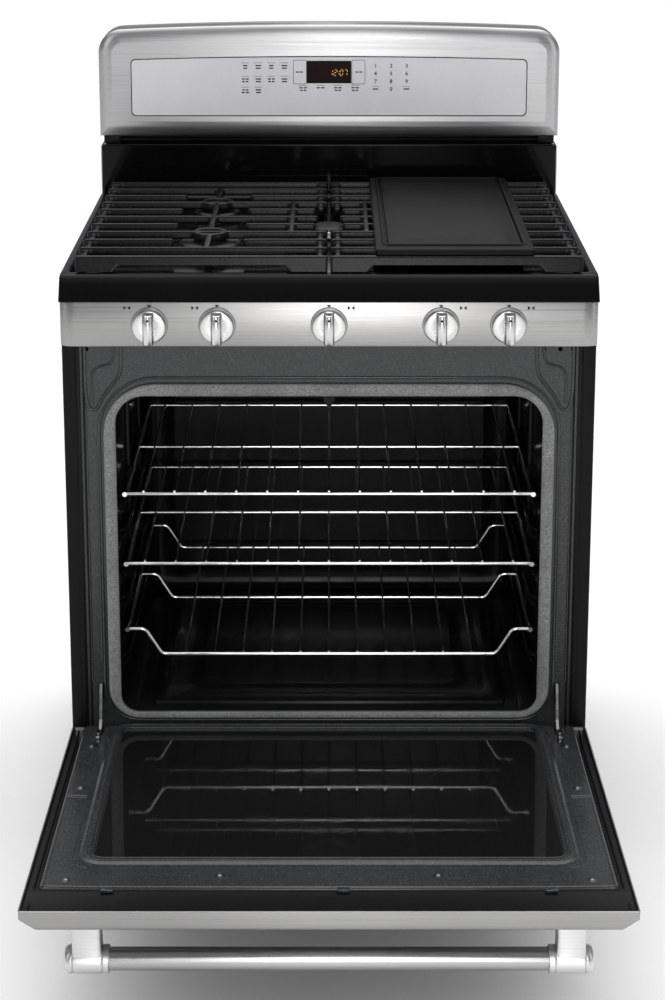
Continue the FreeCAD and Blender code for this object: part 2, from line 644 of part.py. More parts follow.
def build_knobs():
    """Each knob turns on a spindle that is pushed in against its valve."""
    knob_front = "knob_back - knob_proud + bezel_proud"
    for name, x in KNOBS.items():
        shank = rod(f"spindleShank{name}", "y", x, "spindle_front", "knob_up", "stem_radius",
                    "-spindle_front")
        collar = rod(f"spindleCollar{name}", "y", x, "collar_back", "knob_up", "collar_radius",
                     "collar_deep")
        in_cabinet(fuse(f"spindle{name}", [shank, collar]), f"knob_spindle_{name}")

        skirt = rod(f"skirt{name}", "y", x, "knob_back - skirt_deep", "knob_up", "knob_radius",
                    "skirt_deep")
        grip = box(f"grip{name}", f"{x} - grip_width / 2", knob_front, "knob_up - knob_radius - 1",
                   "grip_width", f"knob_back - skirt_deep + 1 - ({knob_front})",
                   "2 * knob_radius + 2")
        limit = rod(f"gripLimit{name}", "y", x, f"{knob_front} - run_past", "knob_up",
                    "knob_radius - grip_inset", "knob_proud + 2 * run_past")
        grip_round = common(f"gripRound{name}", [grip, limit])
        bore = rod(f"knobBore{name}", "y", x, "spindle_front - 0.5", "knob_up",
                   "stem_radius + running_gap", "knob_proud")
        in_cabinet(cut(f"knob{name}", fuse(f"knobBlank{name}", [skirt, grip_round]), bore),
                   f"knob_{name}")


def build_backguard():
    """Splash panel, console support, arched console shell, overlay and display."""
    half = "body_width / 2"
    splash_front = "guard_front + bezel_proud"
    splash_half = f"({half} - deck_wall)"
    splash = new_body("splashBody")
    outline = sketch_on(splash, "XZ_Plane", f"-({splash_front})", "splashOutline")
    rectangle(outline, f"-{splash_half}", splash_half, "panel_top", "splash_top")
    extrude(splash, "Pad", outline, f"body_back - splash_back - ({splash_front})", reverse=True)
    round_edges(splash, "splash_corner", lambda edge: runs_along(edge, Y_AXIS)
                and edge.CenterOfMass.z > size_of("deck_top"))
    hollow = sketch_on(splash, "XZ_Plane", f"-({splash_front}) - sheet_gauge", "splashHollow")
    rectangle(hollow, f"sheet_gauge - {splash_half}", f"{splash_half} - sheet_gauge",
              "panel_top - 1", "splash_top - sheet_gauge")
    extrude(splash, "Pocket", hollow, "body_back - guard_front")
    support = mid_box("supportBox", f"{half} - support_inset", "guard_front + support_front",
                      "splash_top", "body_back - splash_back - guard_front - support_front",
                      "guard_low - splash_top")
    tongue = mid_box("supportTongue", f"{half} - tongue_inset", "guard_front + tongue_front",
                     "splash_top", "tongue_thick", "tongue_height")
    in_cabinet(fuse("backsplash", [splash, support, tongue]), "backsplash")

    shell = new_body("guardBody")
    shell_outline = sketch_on(shell, "XZ_Plane", "-guard_front", "guardOutline")
    arch = [(f"{k} * body_width / 16", f"total_top - guard_arch * {(k / 8) ** 2}")
            for k in range(8, -9, -1)]
    polygon(shell_outline, [(f"-{half}", "guard_low"), (half, "guard_low")] + arch)
    extrude(shell, "Pad", shell_outline, "body_back - guard_front", reverse=True)
    upper = size_of("total_top") - 3 * size_of("guard_arch")
    side = size_of("body_width") / 2 - size_of("guard_arch")
    round_edges(shell, "guard_corner", lambda edge: runs_along(edge, Y_AXIS)
                and edge.CenterOfMass.z > upper and abs(edge.CenterOfMass.x) > side)
    room = sketch_on(shell, "XZ_Plane", "-guard_front - guard_skin", "guardRoom")
    rectangle(room, f"guard_wall - {half}", f"{half} - guard_wall", "guard_low - 1",
              "total_top - 1.5 * guard_wall")
    extrude(shell, "Pocket", room, "body_back - guard_front")
    in_cabinet(shell, "backguard_shell")
    in_cabinet(mid_box("guardCover", f"{half} - cover_inset", "body_back - 2 * sheet_gauge",
                       "panel_top + sheet_gauge", "sheet_gauge",
                       "total_top - panel_top - 1.5 * cover_inset"), "backguard_rear_cover")

    overlay = front_plate("overlaySheet", "-overlay_side", "overlay_side", "overlay_low",
                          "overlay_top", "guard_front - overlay_thick", "overlay_thick",
                          "overlay_corner")
    window = mid_box("overlayWindow", "display_side + display_play", "guard_front - run_past",
                     "display_low - display_play", "2 * run_past",
                     "display_top - display_low + 2 * display_play")
    in_cabinet(cut("overlay", overlay, window), "control_overlay")
    in_cabinet(mid_box("displayPane", "display_side", "guard_front - display_thick",
                       "display_low", "display_thick", "display_top - display_low"),
               "display_window")


# ---------------------------------------------------------------- loose cooktop pieces

GRATE_ROWS = 11
BROKEN_ROWS = (2, 4, 6, 8)
CENTRE_ROWS = {4: 20, 5: 16, 6: 20}


def grate_bars(side, name):
    """One cast grate, mirrored by side: bars, spine, rings, aprons and feet in one casting."""
    low = "grate_top - bar_height"
    bars = []

    def across(key, start, end, y):
        left = f"min({side} * ({start}); {side} * ({end}))"
        bars.append(box(f"{name}{key}", left, f"{y} - grate_bar / 2", low,
                        f"({end}) - ({start})", "grate_bar", "bar_height"))

    def along(key, x, start, end):
        bars.append(box(f"{name}{key}", f"{side} * {x} - spine_width / 2", start, low,
                        "spine_width", f"({end}) - ({start})", "bar_height"))

    finger_end, finger_start = "burner_side - finger_gap", "burner_side + finger_gap"
    last_row = GRATE_ROWS - 1
    for row in range(GRATE_ROWS):
        y = ("grate_front + grate_bar / 2 + "
             f"{row} * (grate_rear - grate_front - grate_bar) / {last_row}")
        start = CENTRE_ROWS.get(row, "grate_inner")
        if row in BROKEN_ROWS:
            across(f"row{row}a", start, finger_end, y)
            across(f"row{row}b", finger_start, "grate_outer", y)
        else:
            across(f"row{row}", start, "grate_outer", y)
    along("spine", "burner_side", "grate_front + spine_inset", "grate_rear - spine_inset")
    along("short", "short_bar", "burner_front", "burner_rear")
    along("outerRail", "(grate_outer - spine_width / 2)", "grate_front", "grate_rear")

    skirt = "deck_top + rest_gap"
    for end, y in (("Front", "grate_front"), ("Rear", "grate_rear - apron_thick")):
        apron = box(f"{name}apron{end}", f"min({side} * grate_inner; {side} * grate_outer)", y,
                    skirt, "grate_outer - grate_inner", "apron_thick", f"grate_top - ({skirt})")
        if end == "Front":
            notch = box(f"{name}notch", f"{side} * (grate_inner + grate_outer) / 2 - notch_half",
                        0, "deck_top - 1", "2 * notch_half", "4 * run_past", "notch_height")
            apron = cut(f"{name}apronCut", apron, notch)
        bars.append(apron)
        foot_y = "grate_front + 13" if end == "Front" else "grate_rear - 18"
        for key, x in (("In", "grate_inner + 4"), ("Out", "grate_outer - foot_size - 4")):
            left = f"min({side} * ({x}); {side} * ({x} + foot_size))"
            bars.append(box(f"{name}foot{key}{end}", left, foot_y, f"{skirt} - deck_recess",
                            "foot_size", "foot_size", "2 * foot_size"))
    rings = []
    for key, y in (("Front", "burner_front"), ("Rear", "burner_rear")):
        x = f"{side} * burner_side"
        bars.append(rod(f"{name}ring{key}", "z", x, y, low, "ring_outer", "bar_height"))
        rings.append(rod(f"{name}hole{key}", "z", x, y, f"{low} - run_past", "ring_inner",
                         "bar_height + 2 * run_past"))
    return cut(name, fuse(name + "Bars", bars), fuse(name + "Holes", rings))


def build_grates():
    """Two cast grates and the griddle that lies on the right one."""
    in_cabinet(grate_bars(-1, "grateLeft"), "grate_left")
    in_cabinet(grate_bars(1, "grateRight"), "grate_right")

    low = "grate_top + rest_gap"
    plate = box("griddleBlank", "griddle_low", "griddle_front", low,
                "griddle_high - griddle_low", "griddle_rear - griddle_front",
                f"griddle_top - ({low})")
    well = box("griddleWell", "griddle_low + griddle_rim", "griddle_front + griddle_lip",
               "grate_top + griddle_skin", "griddle_high - griddle_low - 2 * griddle_rim",
               "griddle_rear - griddle_front - 2 * griddle_lip", "2 * run_past")
    in_cabinet(cut("griddlePlate", plate, well), "griddle")


# ---------------------------------------------------------------- oven racks

def bent_rod(points, bend, radius):
    """A wire along straight runs joined by tangent arcs of one radius."""
    edges = []
    last = points[0]
    for before, corner, after in zip(points, points[1:], points[2:]):
        to_start = (before - corner).normalize()
        to_end = (after - corner).normalize()
        half_turn = (math.pi - to_start.getAngle(to_end)) / 2
        reach = bend * math.tan(half_turn)
        entry, leave = corner + to_start * reach, corner + to_end * reach
        toward = (to_start + to_end).normalize()
        middle = corner + toward * (bend / math.cos(half_turn) - bend)
        edges.append(Part.LineSegment(last, entry).toShape())
        edges.append(Part.Arc(entry, middle, leave).toShape())
        last = leave
    edges.append(Part.LineSegment(last, points[-1]).toShape())
    path = Part.Wire(edges)
    start = points[0]
    profile = Part.Wire([Part.makeCircle(radius, start, (points[1] - start))])
    return path.makePipeShell([profile], True, False)


FLAT_WIRES, DROP_WIRES = 13, 11
RAIL_EXTRA = 0.5


def rack_shape(level, drop):
    """A chrome rack: bent cross rods and side rails, with thin wires laid over them."""
    side, front = size_of("rack_side"), size_of("rack_front")
    depth, thick, thin = size_of("rack_depth"), size_of("rack_wire"), size_of("rod_wire")
    foot, shoulder = size_of("drop_foot"), size_of("drop_shoulder")
    solids = []
    for y in (front, front + depth / 2, front + depth):
        if drop:
            outline = [Vector(-side, y, level), Vector(-shoulder, y, level),
                       Vector(-foot, y, level - drop), Vector(foot, y, level - drop),
                       Vector(shoulder, y, level), Vector(side, y, level)]
        else:
            outline = [Vector(-side, y, level), Vector(side, y, level)]
        solids.append(bent_rod(outline, size_of("rack_bend"), thick))
    rail = thick + RAIL_EXTRA
    for x in (-side, side):
        solids.append(Part.makeCylinder(rail, depth + 2 * rail, Vector(x, front - rail, level),
                                        Y_AXIS))
    pitch = size_of("drop_pitch" if drop else "wire_pitch")
    wires = DROP_WIRES if drop else FLAT_WIRES
    up = level - drop + thick + thin - size_of("wire_sink")
    for k in range(wires):
        x = (k - (wires - 1) / 2) * pitch
        solids.append(Part.makeCylinder(thin, depth + 2 * thin, Vector(x, front - thin, up),
                                        Y_AXIS))
    return solids[0].multiFuse(solids[1:]).removeSplitter()


def build_racks():
    for name, alias, drop in (("upper", "rack_upper", 0), ("middle", "rack_middle", 0),
                              ("lower", "rack_lower", size_of("rack_drop"))):
        rack = doc.addObject("Part::Feature", f"rack_{name}_wires")
        rack.Shape = rack_shape(size_of(alias), drop)
        in_cabinet(rack, f"oven_rack_{name}")


# ---------------------------------------------------------------- door

# Door screws as pairs of distance from the middle plane and height above the door's low edge.
DOOR_SCREWS = ((341, 87), (341, 234), (329, 517), (137, 505))


def build_door():
    """Outer pan, glass, liner, hinge channels, handle and screws."""
    half = "body_width / 2"
    gauge = "sheet_gauge"
    skin = front_plate("skinPan", f"-{half}", half, "door_low", "door_top", "door_face",
                       "door_back - door_face")
    skin_room = sketch_on(skin, "XZ_Plane", f"-door_face - {gauge}", "skinRoom")
    rectangle(skin_room, f"{gauge} - {half}", f"{half} - {gauge}", f"door_low + {gauge}",
              f"door_top - {gauge}")
    extrude(skin, "Pocket", skin_room, "-door_face")
    view = sketch_on(skin, "XZ_Plane", "-door_face + 1", "skinWindow")
    rectangle(view, "-window_side + 40", "window_side - 40", "window_low + 70", "window_top - 40")
    extrude(skin, "Pocket", view, "run_past")
    on_door(skin, "door_skin")

    on_door(mid_box("outerGlass", "window_side - 20", f"door_face + {gauge} + rest_gap",
                    "window_low + 50", "glass_thick", "window_top - window_low - 70"),
            "door_glass_outer")

    side = f"({half} - liner_side_gap)"
    low, top = "door_low + liner_low_gap", "door_top - liner_top_gap"
    liner = front_plate("linerPan", f"-{side}", side, low, top, "door_liner_face - liner_deep",
                        "liner_deep")
    liner_room = sketch_on(liner, "XZ_Plane", f"-door_liner_face + liner_deep + {gauge}",
                           "doorLinerRoom")
    rectangle(liner_room, f"{gauge} - {side}", f"{side} - {gauge}", f"{low} + {gauge}",
              f"{top} - {gauge}")
    extrude(liner, "Pocket", liner_room, "liner_deep")
    opening = sketch_on(liner, "XZ_Plane", "-door_liner_face + liner_deep / 2",
                        "doorLinerWindow")
    rectangle(opening, "-window_side", "window_side", "window_low", "window_top")
    extrude(liner, "Pocket", opening, "2 * run_past")
    slots = [box(f"linerSlot{end}", f"{end} * hinge_side - liner_slot_width / 2",
                 "door_liner_face - 2 * run_past", "door_low - 5", "liner_slot_width",
                 "3 * run_past", "liner_slot_height + 5") for end in (-1, 1)]
    on_door(cut("doorLiner", liner, fuse("linerSlots", slots)), "door_liner")

    on_door(mid_box("innerGlass", "window_side + glass_lap",
                    f"door_liner_face - {gauge} - rest_gap * 2 - glass_thick",
                    "window_low - 8", "glass_thick", "window_top - window_low + 16"),
            "door_glass_inner")

    channels = []
    for end in (-1, 1):
        edge = f"{end} * hinge_side - channel_width / 2"
        foot = "door_low + 7"
        walls = [
            box(f"channelWall{end}{k}", f"{edge} + {shift}", "door_face + 4", foot, gauge,
                "channel_deep", "channel_length")
            for k, shift in enumerate((0, f"channel_width - {gauge}"))
        ]
        web = box(f"channelWeb{end}", edge, f"door_face + {gauge} + rest_gap", foot,
                  "channel_width", gauge, "channel_length")
        pin = rod(f"hingePin{end}", "x", edge, "hinge_back", "hinge_up", "stem_radius",
                  "channel_width")
        channels.append(fuse(f"channel{end}", walls + [web, pin]))
    on_door(group("channels", channels), "door_hinge_channels")

    bar_up = "door_top - handle_down"
    bar_out = "door_face - handle_reach"
    on_door(rod("handleBar", "x", "-post_side + post_width / 2", bar_out, bar_up,
                "handle_radius", "2 * post_side - post_width"), "door_handle_bar")
    posts = []
    for end in (-1, 1):
        centre = f"{end} * post_side"
        sleeve = rod(f"sleeve{end}", "x", f"{centre} - post_width / 2", bar_out, bar_up,
                     "sleeve_radius", "post_width")
        stem = box(f"post{end}", f"{centre} - post_stem / 2", bar_out,
                   f"{bar_up} - post_height / 2", "post_stem", "handle_reach", "post_height")
        foot = box(f"postFoot{end}", f"{centre} - post_width / 2", "door_face - foot_thick",
                   f"{bar_up} - foot_height / 2", "post_width", "foot_thick", "foot_height")
        tip = rod(f"tip{end}", "x", f"min({centre}; {end} * handle_span / 2)", bar_out, bar_up,
                  "tip_radius", "handle_span / 2 - post_side")
        posts.append(fuse(f"bracket{end}", [sleeve, stem, foot, tip]))
    on_door(group("brackets", posts), "door_handle_brackets")

    screws = []
    for end in (-1, 1):
        for k, (x, up) in enumerate(DOOR_SCREWS):
            screws.append(rod(f"doorScrew{end}{k}", "y", end * x, "door_liner_face",
                              f"door_low + {up}", "screw_radius", "screw_height"))
    on_door(group("doorScrewHeads", screws), "door_screws")


# ---------------------------------------------------------------- drawer

def build_drawer():
    """The storage drawer with its glides, and the runners that hold them."""
    face = "door_face + 2"
    back = "door_face + 2 + drawer_thick"
    gauge = "sheet_gauge"
    front = mid_box("drawerFrontBlank", "body_width / 2", face, "drawer_low", "drawer_thick",
                    "drawer_top - drawer_low")
    pull = mid_box("drawerPull", "pull_side", f"{face} + 8", "drawer_low - 1",
                   "drawer_thick - 8", "pull_height + 1")
    in_cabinet(cut("drawerFront", front, pull), "drawer_front")
    tub = mid_box("drawerTub", "drawer_side", back, "drawer_low + drawer_floor", "drawer_depth",
                  "drawer_height")
    room = mid_box("drawerRoom", f"drawer_side - {gauge}", f"{back} + {gauge}",
                   f"drawer_low + drawer_floor + {gauge}", f"drawer_depth - 2 * {gauge}",
                   "drawer_height + run_past")
    glide_up = "drawer_low + glide_up"
    glides = [box(f"glide{end}", f"{end} * (drawer_side + glide_size / 2) - glide_size / 2",
                  back, glide_up, "glide_size", "drawer_depth", "glide_size")
              for end in (-1, 1)]
    in_cabinet(fuse("drawerPan", [cut("drawerTray", tub, room)] + glides), "drawer_pan")
    rails = []
    for end in (-1, 1):
        outer = box(f"runnerOuter{end}",
                    f"{end} * (drawer_side + runner_width / 2 + 2) - runner_width / 2",
                    "runner_front", f"{glide_up} - glide_size", "runner_width",
                    "drawer_depth + 20", "runner_height")
        slot = box(f"runnerSlot{end}",
                   f"{end} * (drawer_side + glide_size / 2) - glide_size / 2 - 4.5", 0,
                   f"{glide_up} - glide_play", "glide_size + 9", "drawer_depth + 60",
                   "glide_size + 2 * glide_play")
        rails.append(cut(f"runner{end}", outer, slot))
    in_cabinet(group("runners", rails), "drawer_rails")


build_base()
build_side_panel(-1, "side_panel_left")
build_side_panel(1, "side_panel_right")
build_rear_panel()
build_face_frame()
build_gasket()
build_oven()
build_oven_fittings()
build_hinges()
build_cooktop()
build_burners()
build_gas_train()
build_control_panel()
build_knobs()
build_backguard()
build_grates()
build_racks()
build_door()
build_drawer()
doc.recompute()

# The row's origin is the middle of the footprint, on the floor.
whole = FreeCAD.BoundBox()
for part in SUBPARTS:
    whole.add(part.Shape.BoundBox)
sheet.set(sheet.getCellFromAlias("footprint_middle"), f"{(whole.YMin + whole.YMax) / 2:.3f}")
doc.recompute()

# ---------------------------------------------------------------- checks and export

failed = [obj.Name for obj in doc.Objects if "Invalid" in obj.State or "Error" in obj.State]
for part in SUBPARTS:
    if part.Shape.isNull() or not part.Shape.isValid() or not part.Shape.Solids:
        failed.append(part.Label)
if failed:
    raise RuntimeError(f"failed objects: {sorted(set(failed))}")

os.makedirs("parts", exist_ok=True)
for part in SUBPARTS:
    part.Shape.exportStep(f"parts/{part.Label}.step")
print(f"{len(SUBPARTS)} sub-parts written")
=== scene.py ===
import json
import math
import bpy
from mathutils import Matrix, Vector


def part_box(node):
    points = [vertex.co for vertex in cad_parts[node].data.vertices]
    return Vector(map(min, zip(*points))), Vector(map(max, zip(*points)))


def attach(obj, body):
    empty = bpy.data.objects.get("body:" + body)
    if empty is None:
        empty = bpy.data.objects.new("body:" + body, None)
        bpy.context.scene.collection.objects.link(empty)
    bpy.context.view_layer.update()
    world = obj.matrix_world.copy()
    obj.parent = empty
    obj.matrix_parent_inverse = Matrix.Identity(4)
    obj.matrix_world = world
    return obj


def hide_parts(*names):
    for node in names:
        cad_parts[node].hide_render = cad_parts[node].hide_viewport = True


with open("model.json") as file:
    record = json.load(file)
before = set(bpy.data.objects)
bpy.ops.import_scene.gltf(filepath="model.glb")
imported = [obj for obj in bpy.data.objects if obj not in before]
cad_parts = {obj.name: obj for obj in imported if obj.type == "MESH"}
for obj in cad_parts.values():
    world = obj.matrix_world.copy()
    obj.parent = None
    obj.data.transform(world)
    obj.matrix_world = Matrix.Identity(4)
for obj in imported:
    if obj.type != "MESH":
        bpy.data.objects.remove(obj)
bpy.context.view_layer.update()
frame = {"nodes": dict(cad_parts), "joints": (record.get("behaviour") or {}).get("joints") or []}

from types import SimpleNamespace

import bmesh
import bpy
from mathutils import Matrix, Vector

MM = 0.001
FACE_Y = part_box("oven_front_frame")[0][1]
KNOB_COUNT = 5
BURNERS = ("front_left", "rear_left", "center", "front_right", "rear_right")
HINGE_X = 335                                     # the hinge arms, from the middle plane
HINGE_SLOT = (262, 296)                           # the slot's ends in the face frame
RACK_LEDGES = (325, 365, 416, 467, 521, 574)      # the heights of the ledges' upper beads
FOOT_X, FOOT_Y = (-360, 360), (40, 610)

# Pieces are drawn in millimetres in range coordinates: x = 0 on the middle plane, y = 0 on the
# oven's face frame with +y towards the wall, z = 0 on the floor. Door pieces are drawn closed.
TO_ROW = Matrix.Translation((0, FACE_Y, 0)) @ Matrix.Scale(MM, 4)
hinge = next(j for j in frame["joints"] if j["name"] == "door_hinge")
PIVOT = Vector(hinge["pos_m"])
OPENED = (Matrix.Translation(PIVOT) @ Matrix.Rotation(math.radians(hinge["range_deg"][1]), 4, "X")
          @ Matrix.Translation(-PIVOT))
DOOR_TO_ROW = OPENED @ TO_ROW


def span(node):
    """The box and middle of a CAD node in range millimetres; a door node is taken closed."""
    back = (DOOR_TO_ROW if node.startswith("door_") else TO_ROW).inverted()
    points = [back @ v.co for v in frame["nodes"][node].data.vertices]
    x, y, z = ((min(values), max(values)) for values in zip(*points))
    return SimpleNamespace(x0=x[0], y0=y[0], z0=z[0], x1=x[1], y1=y[1], z1=z[1],
                           x=(x[0] + x[1]) / 2, y=(y[0] + y[1]) / 2, z=(z[0] + z[1]) / 2)


def linked(name, data):
    """A new object in the scene."""
    item = bpy.data.objects.new(name, data)
    bpy.context.scene.collection.objects.link(item)
    return item


def curve_mesh(curve):
    """The mesh of a curve, which is used up."""
    holder = bpy.data.objects.new("curve", curve)
    mesh = bpy.data.meshes.new_from_object(holder)
    bpy.data.objects.remove(holder)
    bpy.data.curves.remove(curve)
    return mesh


# ------------------------------------------------------------------ materials

class Material:
    """A principled material whose pattern comes from nodes in object coordinates."""

    def __init__(self, name, **sockets):
        self.material = bpy.data.materials.new(name)
        self.material.use_nodes = True
        self.nodes = self.material.node_tree.nodes
        self.links = self.material.node_tree.links
        self.shader = self.nodes["Principled BSDF"]
        for key, value in sockets.items():
            self.shader.inputs[key.replace("_", " ")].default_value = value
        self.coords = self.nodes.new("ShaderNodeTexCoord")

    def stretched(self, scale):
        """Object coordinates scaled along each axis."""
        mapping = self.nodes.new("ShaderNodeMapping")
        mapping.inputs["Scale"].default_value = scale
        self.links.new(self.coords.outputs["Object"], mapping.inputs["Vector"])
        return mapping.outputs["Vector"]

    def noise(self, scale, detail=3.0, stretch=(1, 1, 1)):
        """Soft noise from 0 to 1."""
        node = self.nodes.new("ShaderNodeTexNoise")
        node.inputs["Scale"].default_value = scale
        node.inputs["Detail"].default_value = detail
        self.links.new(self.stretched(stretch), node.inputs["Vector"])
        return node.outputs["Fac"]

    def cells(self, scale):
        """A random colour for each cell of a broken-up pattern."""
        node = self.nodes.new("ShaderNodeTexVoronoi")
        node.inputs["Scale"].default_value = scale
        self.links.new(self.stretched((1, 1, 1)), node.inputs["Vector"])
        return node.outputs["Color"]

    def ramp(self, factor, *stops):
        """A factor mapped through (position, grey or colour) stops."""
        node = self.nodes.new("ShaderNodeValToRGB")
        ramp = node.color_ramp
        while len(ramp.elements) < len(stops):
            ramp.elements.new(0.5)
        for element, (position, value) in zip(ramp.elements, stops):
            element.position = position
            shade = value if isinstance(value, tuple) else (value, value, value)
            element.color = (*shade, 1)
        self.links.new(factor, node.inputs["Fac"])
        return node.outputs["Color"]

    def mix(self, factor, first, second):
        """The first value blended into the second; either may be a colour or a socket."""
        node = self.nodes.new("ShaderNodeMix")
        node.data_type = "RGBA"
        self.links.new(factor, node.inputs[0])
        for value, socket in ((first, node.inputs[6]), (second, node.inputs[7])):
            if isinstance(value, tuple):
                socket.default_value = (*value, 1)
            else:
                self.links.new(value, socket)
        return node.outputs[2]

    def colour(self, value):
        self.links.new(value, self.shader.inputs["Base Color"])
        return self

    def roughness(self, value):
        self.links.new(value, self.shader.inputs["Roughness"])
        return self

    def bump(self, height, distance, strength=1.0):
        """A bump of a real height in metres, added to the bumps set before."""
        node = self.nodes.new("ShaderNodeBump")
        node.inputs["Strength"].default_value = strength
        node.inputs["Distance"].default_value = distance
        self.links.new(height, node.inputs["Height"])
        previous = self.shader.inputs["Normal"]
        if previous.is_linked:
            self.links.new(previous.links[0].from_socket, node.inputs["Normal"])
        self.links.new(node.outputs["Normal"], previous)
        return self


def scaled(tone, factor):
    """A tone made darker or lighter."""
    return tuple(min(c * factor, 1) for c in tone)


def brushed(name, tone, grain, rough):
    """Steel with fine straight scratches and broad painted reflection bands; grain is the stretch
    that lays the scratches along one axis.
    """
    steel = Material(name, Metallic=1.0, Anisotropic=0.65, Anisotropic_Rotation=0.25)
    across = steel.nodes.new("ShaderNodeTangent")
    across.direction_type = "RADIAL"
    across.axis = "Z"
    steel.links.new(across.outputs["Tangent"], steel.shader.inputs["Tangent"])
    lines = steel.noise(1.0, 4.0, grain)
    # Broad noise bands across x mix a darker and a lighter copy of the steel: painted reflection
    # bands, placed at random by the noise.
    broad = steel.noise(1.0, 1.0, (3.1, 0.4, 0.4))
    painted_dark_band = steel.ramp(lines, (0.3, scaled(tone, 0.84)), (0.72, tone))
    clean_yarn_and_bright_band = steel.ramp(lines, (0.3, tone), (0.72, scaled(tone, 1.22)))
    steel.colour(steel.mix(steel.ramp(broad, (0.38, 0.0), (0.62, 1.0)), painted_dark_band, clean_yarn_and_bright_band))
    steel.roughness(steel.ramp(lines, (0.25, rough * 0.82), (0.75, rough * 1.25)))
    return steel.bump(lines, 0.00001, 0.5).material


def speckled_enamel(name, tone, speck):
    """Porcelain enamel: dark ground, small pale specks, a glossy coat with slight waviness."""
    glaze = Material(name, Specular_IOR_Level=0.42)
    specks = glaze.noise(760, 2.0)
    fine = glaze.noise(1500, 1.0)
    cloud = glaze.noise(9, 3.0)
    ground = glaze.ramp(cloud, (0.3, scaled(tone, 0.85)), (0.7, scaled(tone, 1.15)))
    dusted = glaze.mix(glaze.ramp(fine, (0.5, 0.0), (0.68, 0.45)), ground, speck)
    glaze.colour(glaze.mix(glaze.ramp(specks, (0.6, 0.0), (0.68, 0.8)), dusted, speck))
    glaze.roughness(glaze.ramp(cloud, (0.3, 0.17), (0.7, 0.25)))
    return glaze.bump(glaze.noise(130, 2.0), 0.00012, 0.35).material


def gloss_enamel(name, tone, rough=0.09):
    """Dark glossy enamel with slight waviness."""
    glaze = Material(name, Specular_IOR_Level=0.13)
    cloud = glaze.noise(7, 3.0)
    glaze.colour(glaze.ramp(cloud, (0.3, scaled(tone, 0.8)), (0.75, scaled(tone, 1.3))))
    glaze.roughness(glaze.ramp(glaze.noise(24, 4.0), (0.3, rough * 0.8), (0.75, rough * 1.5)))
    return glaze.bump(glaze.noise(55, 2.0), 0.00015, 0.25).material


def satin(name, tone, rough, grain=700, depth=0.00006, **sockets):
    """A matt moulding or paint with a fine grain."""
    paint = Material(name, **sockets)
    fine = paint.noise(grain, 3.0)
    broad = paint.noise(11, 3.0)
    paint.colour(paint.mix(fine, paint.ramp(broad, (0.3, scaled(tone, 0.85)), (0.7, tone)),
                           scaled(tone, 1.25)))
    paint.roughness(paint.ramp(fine, (0.3, rough * 0.88), (0.7, min(rough * 1.15, 1))))
    return paint.bump(fine, depth, 0.6).material


def cast_iron(name, tone, rough):
    """A sand-cast skin under thin enamel."""
    iron = Material(name, Specular_IOR_Level=0.2)
    sand = iron.noise(1200, 4.0)
    pits = iron.noise(300, 3.0)
    iron.colour(iron.mix(iron.ramp(pits, (0.35, 0.0), (0.7, 1.0)), scaled(tone, 0.8),
                         scaled(tone, 1.25)))
    iron.roughness(iron.ramp(sand, (0.3, rough * 0.85), (0.7, rough * 1.2)))
    iron.bump(pits, 0.0002, 0.2)
    return iron.bump(sand, 0.00005, 0.35).material


def galvanised(name):
    """Zinc-coated sheet with its spangle."""
    zinc = Material(name, Metallic=1.0)
    flakes = zinc.cells(110)
    gray = zinc.ramp(flakes, (0.0, (0.36, 0.37, 0.38)), (1.0, (0.6, 0.61, 0.62)))
    zinc.colour(gray)
    zinc.roughness(zinc.ramp(flakes, (0.0, 0.3), (1.0, 0.5)))
    return zinc.bump(zinc.noise(400, 3.0), 0.00004, 0.4).material


def turned(name, tone, rough):
    """Metal turned on a lathe about the y axis of each piece."""
    steel = Material(name, Metallic=1.0)
    centred = steel.nodes.new("ShaderNodeMapping")
    centred.inputs["Location"].default_value = (-0.5, 0, -0.5)
    steel.links.new(steel.coords.outputs["Generated"], centred.inputs["Vector"])
    rings = steel.nodes.new("ShaderNodeTexWave")
    rings.wave_type = "RINGS"
    rings.rings_direction = "Y"
    rings.inputs["Scale"].default_value = 36
    rings.inputs["Distortion"].default_value = 0.2
    steel.links.new(centred.outputs["Vector"], rings.inputs["Vector"])
    groove = rings.outputs["Fac"]
    steel.colour(steel.ramp(groove, (0.1, scaled(tone, 0.97)), (0.9, tone)))
    steel.roughness(steel.ramp(steel.noise(90, 3.0), (0.3, rough * 0.95), (0.7, rough * 1.08)))
    return steel.bump(groove, 0.000004, 0.3).material


def woven(name):
    """Glass-fibre yarn: fine threads, slightly fuzzy, greyed by use."""
    yarn = Material(name, Sheen_Weight=0.12, Sheen_Roughness=0.5)
    thread = yarn.noise(620, 3.0)
    stain = yarn.noise(16, 4.0)
    clean_yarn_and_bright_band = yarn.ramp(thread, (0.3, (0.07, 0.073, 0.073)), (0.72, (0.36, 0.365, 0.36)))
    yarn.colour(yarn.mix(yarn.ramp(stain, (0.45, 0.0), (0.8, 0.45)), clean_yarn_and_bright_band, (0.05, 0.05, 0.048)))
    yarn.roughness(yarn.ramp(thread, (0.2, 0.6), (0.8, 0.85)))
    return yarn.bump(thread, 0.0005, 0.8).material


def chrome(name):
    """Plated wire with a slight haze."""
    wire = Material(name, Metallic=1.0)
    haze = wire.noise(60, 4.0)
    wire.colour(wire.ramp(haze, (0.3, (0.7, 0.7, 0.71)), (0.75, (0.86, 0.86, 0.87))))
    wire.roughness(wire.ramp(haze, (0.3, 0.07), (0.75, 0.2)))
    return wire.bump(wire.noise(420, 2.0), 0.00002, 0.3).material


def tinted_glass(name, tint, clear, gloss=0.3):
    """A dark pane; clear is how much light goes through it."""
    pane = Material(name, IOR=1.3, Transmission_Weight=clear, Specular_IOR_Level=gloss)
    film = pane.noise(5, 4.0)
    pane.colour(pane.ramp(film, (0.3, scaled(tint, 0.85)), (0.8, tint)))
    pane.roughness(pane.ramp(pane.noise(30, 4.0), (0.35, 0.015), (0.8, 0.06)))
    return pane.material


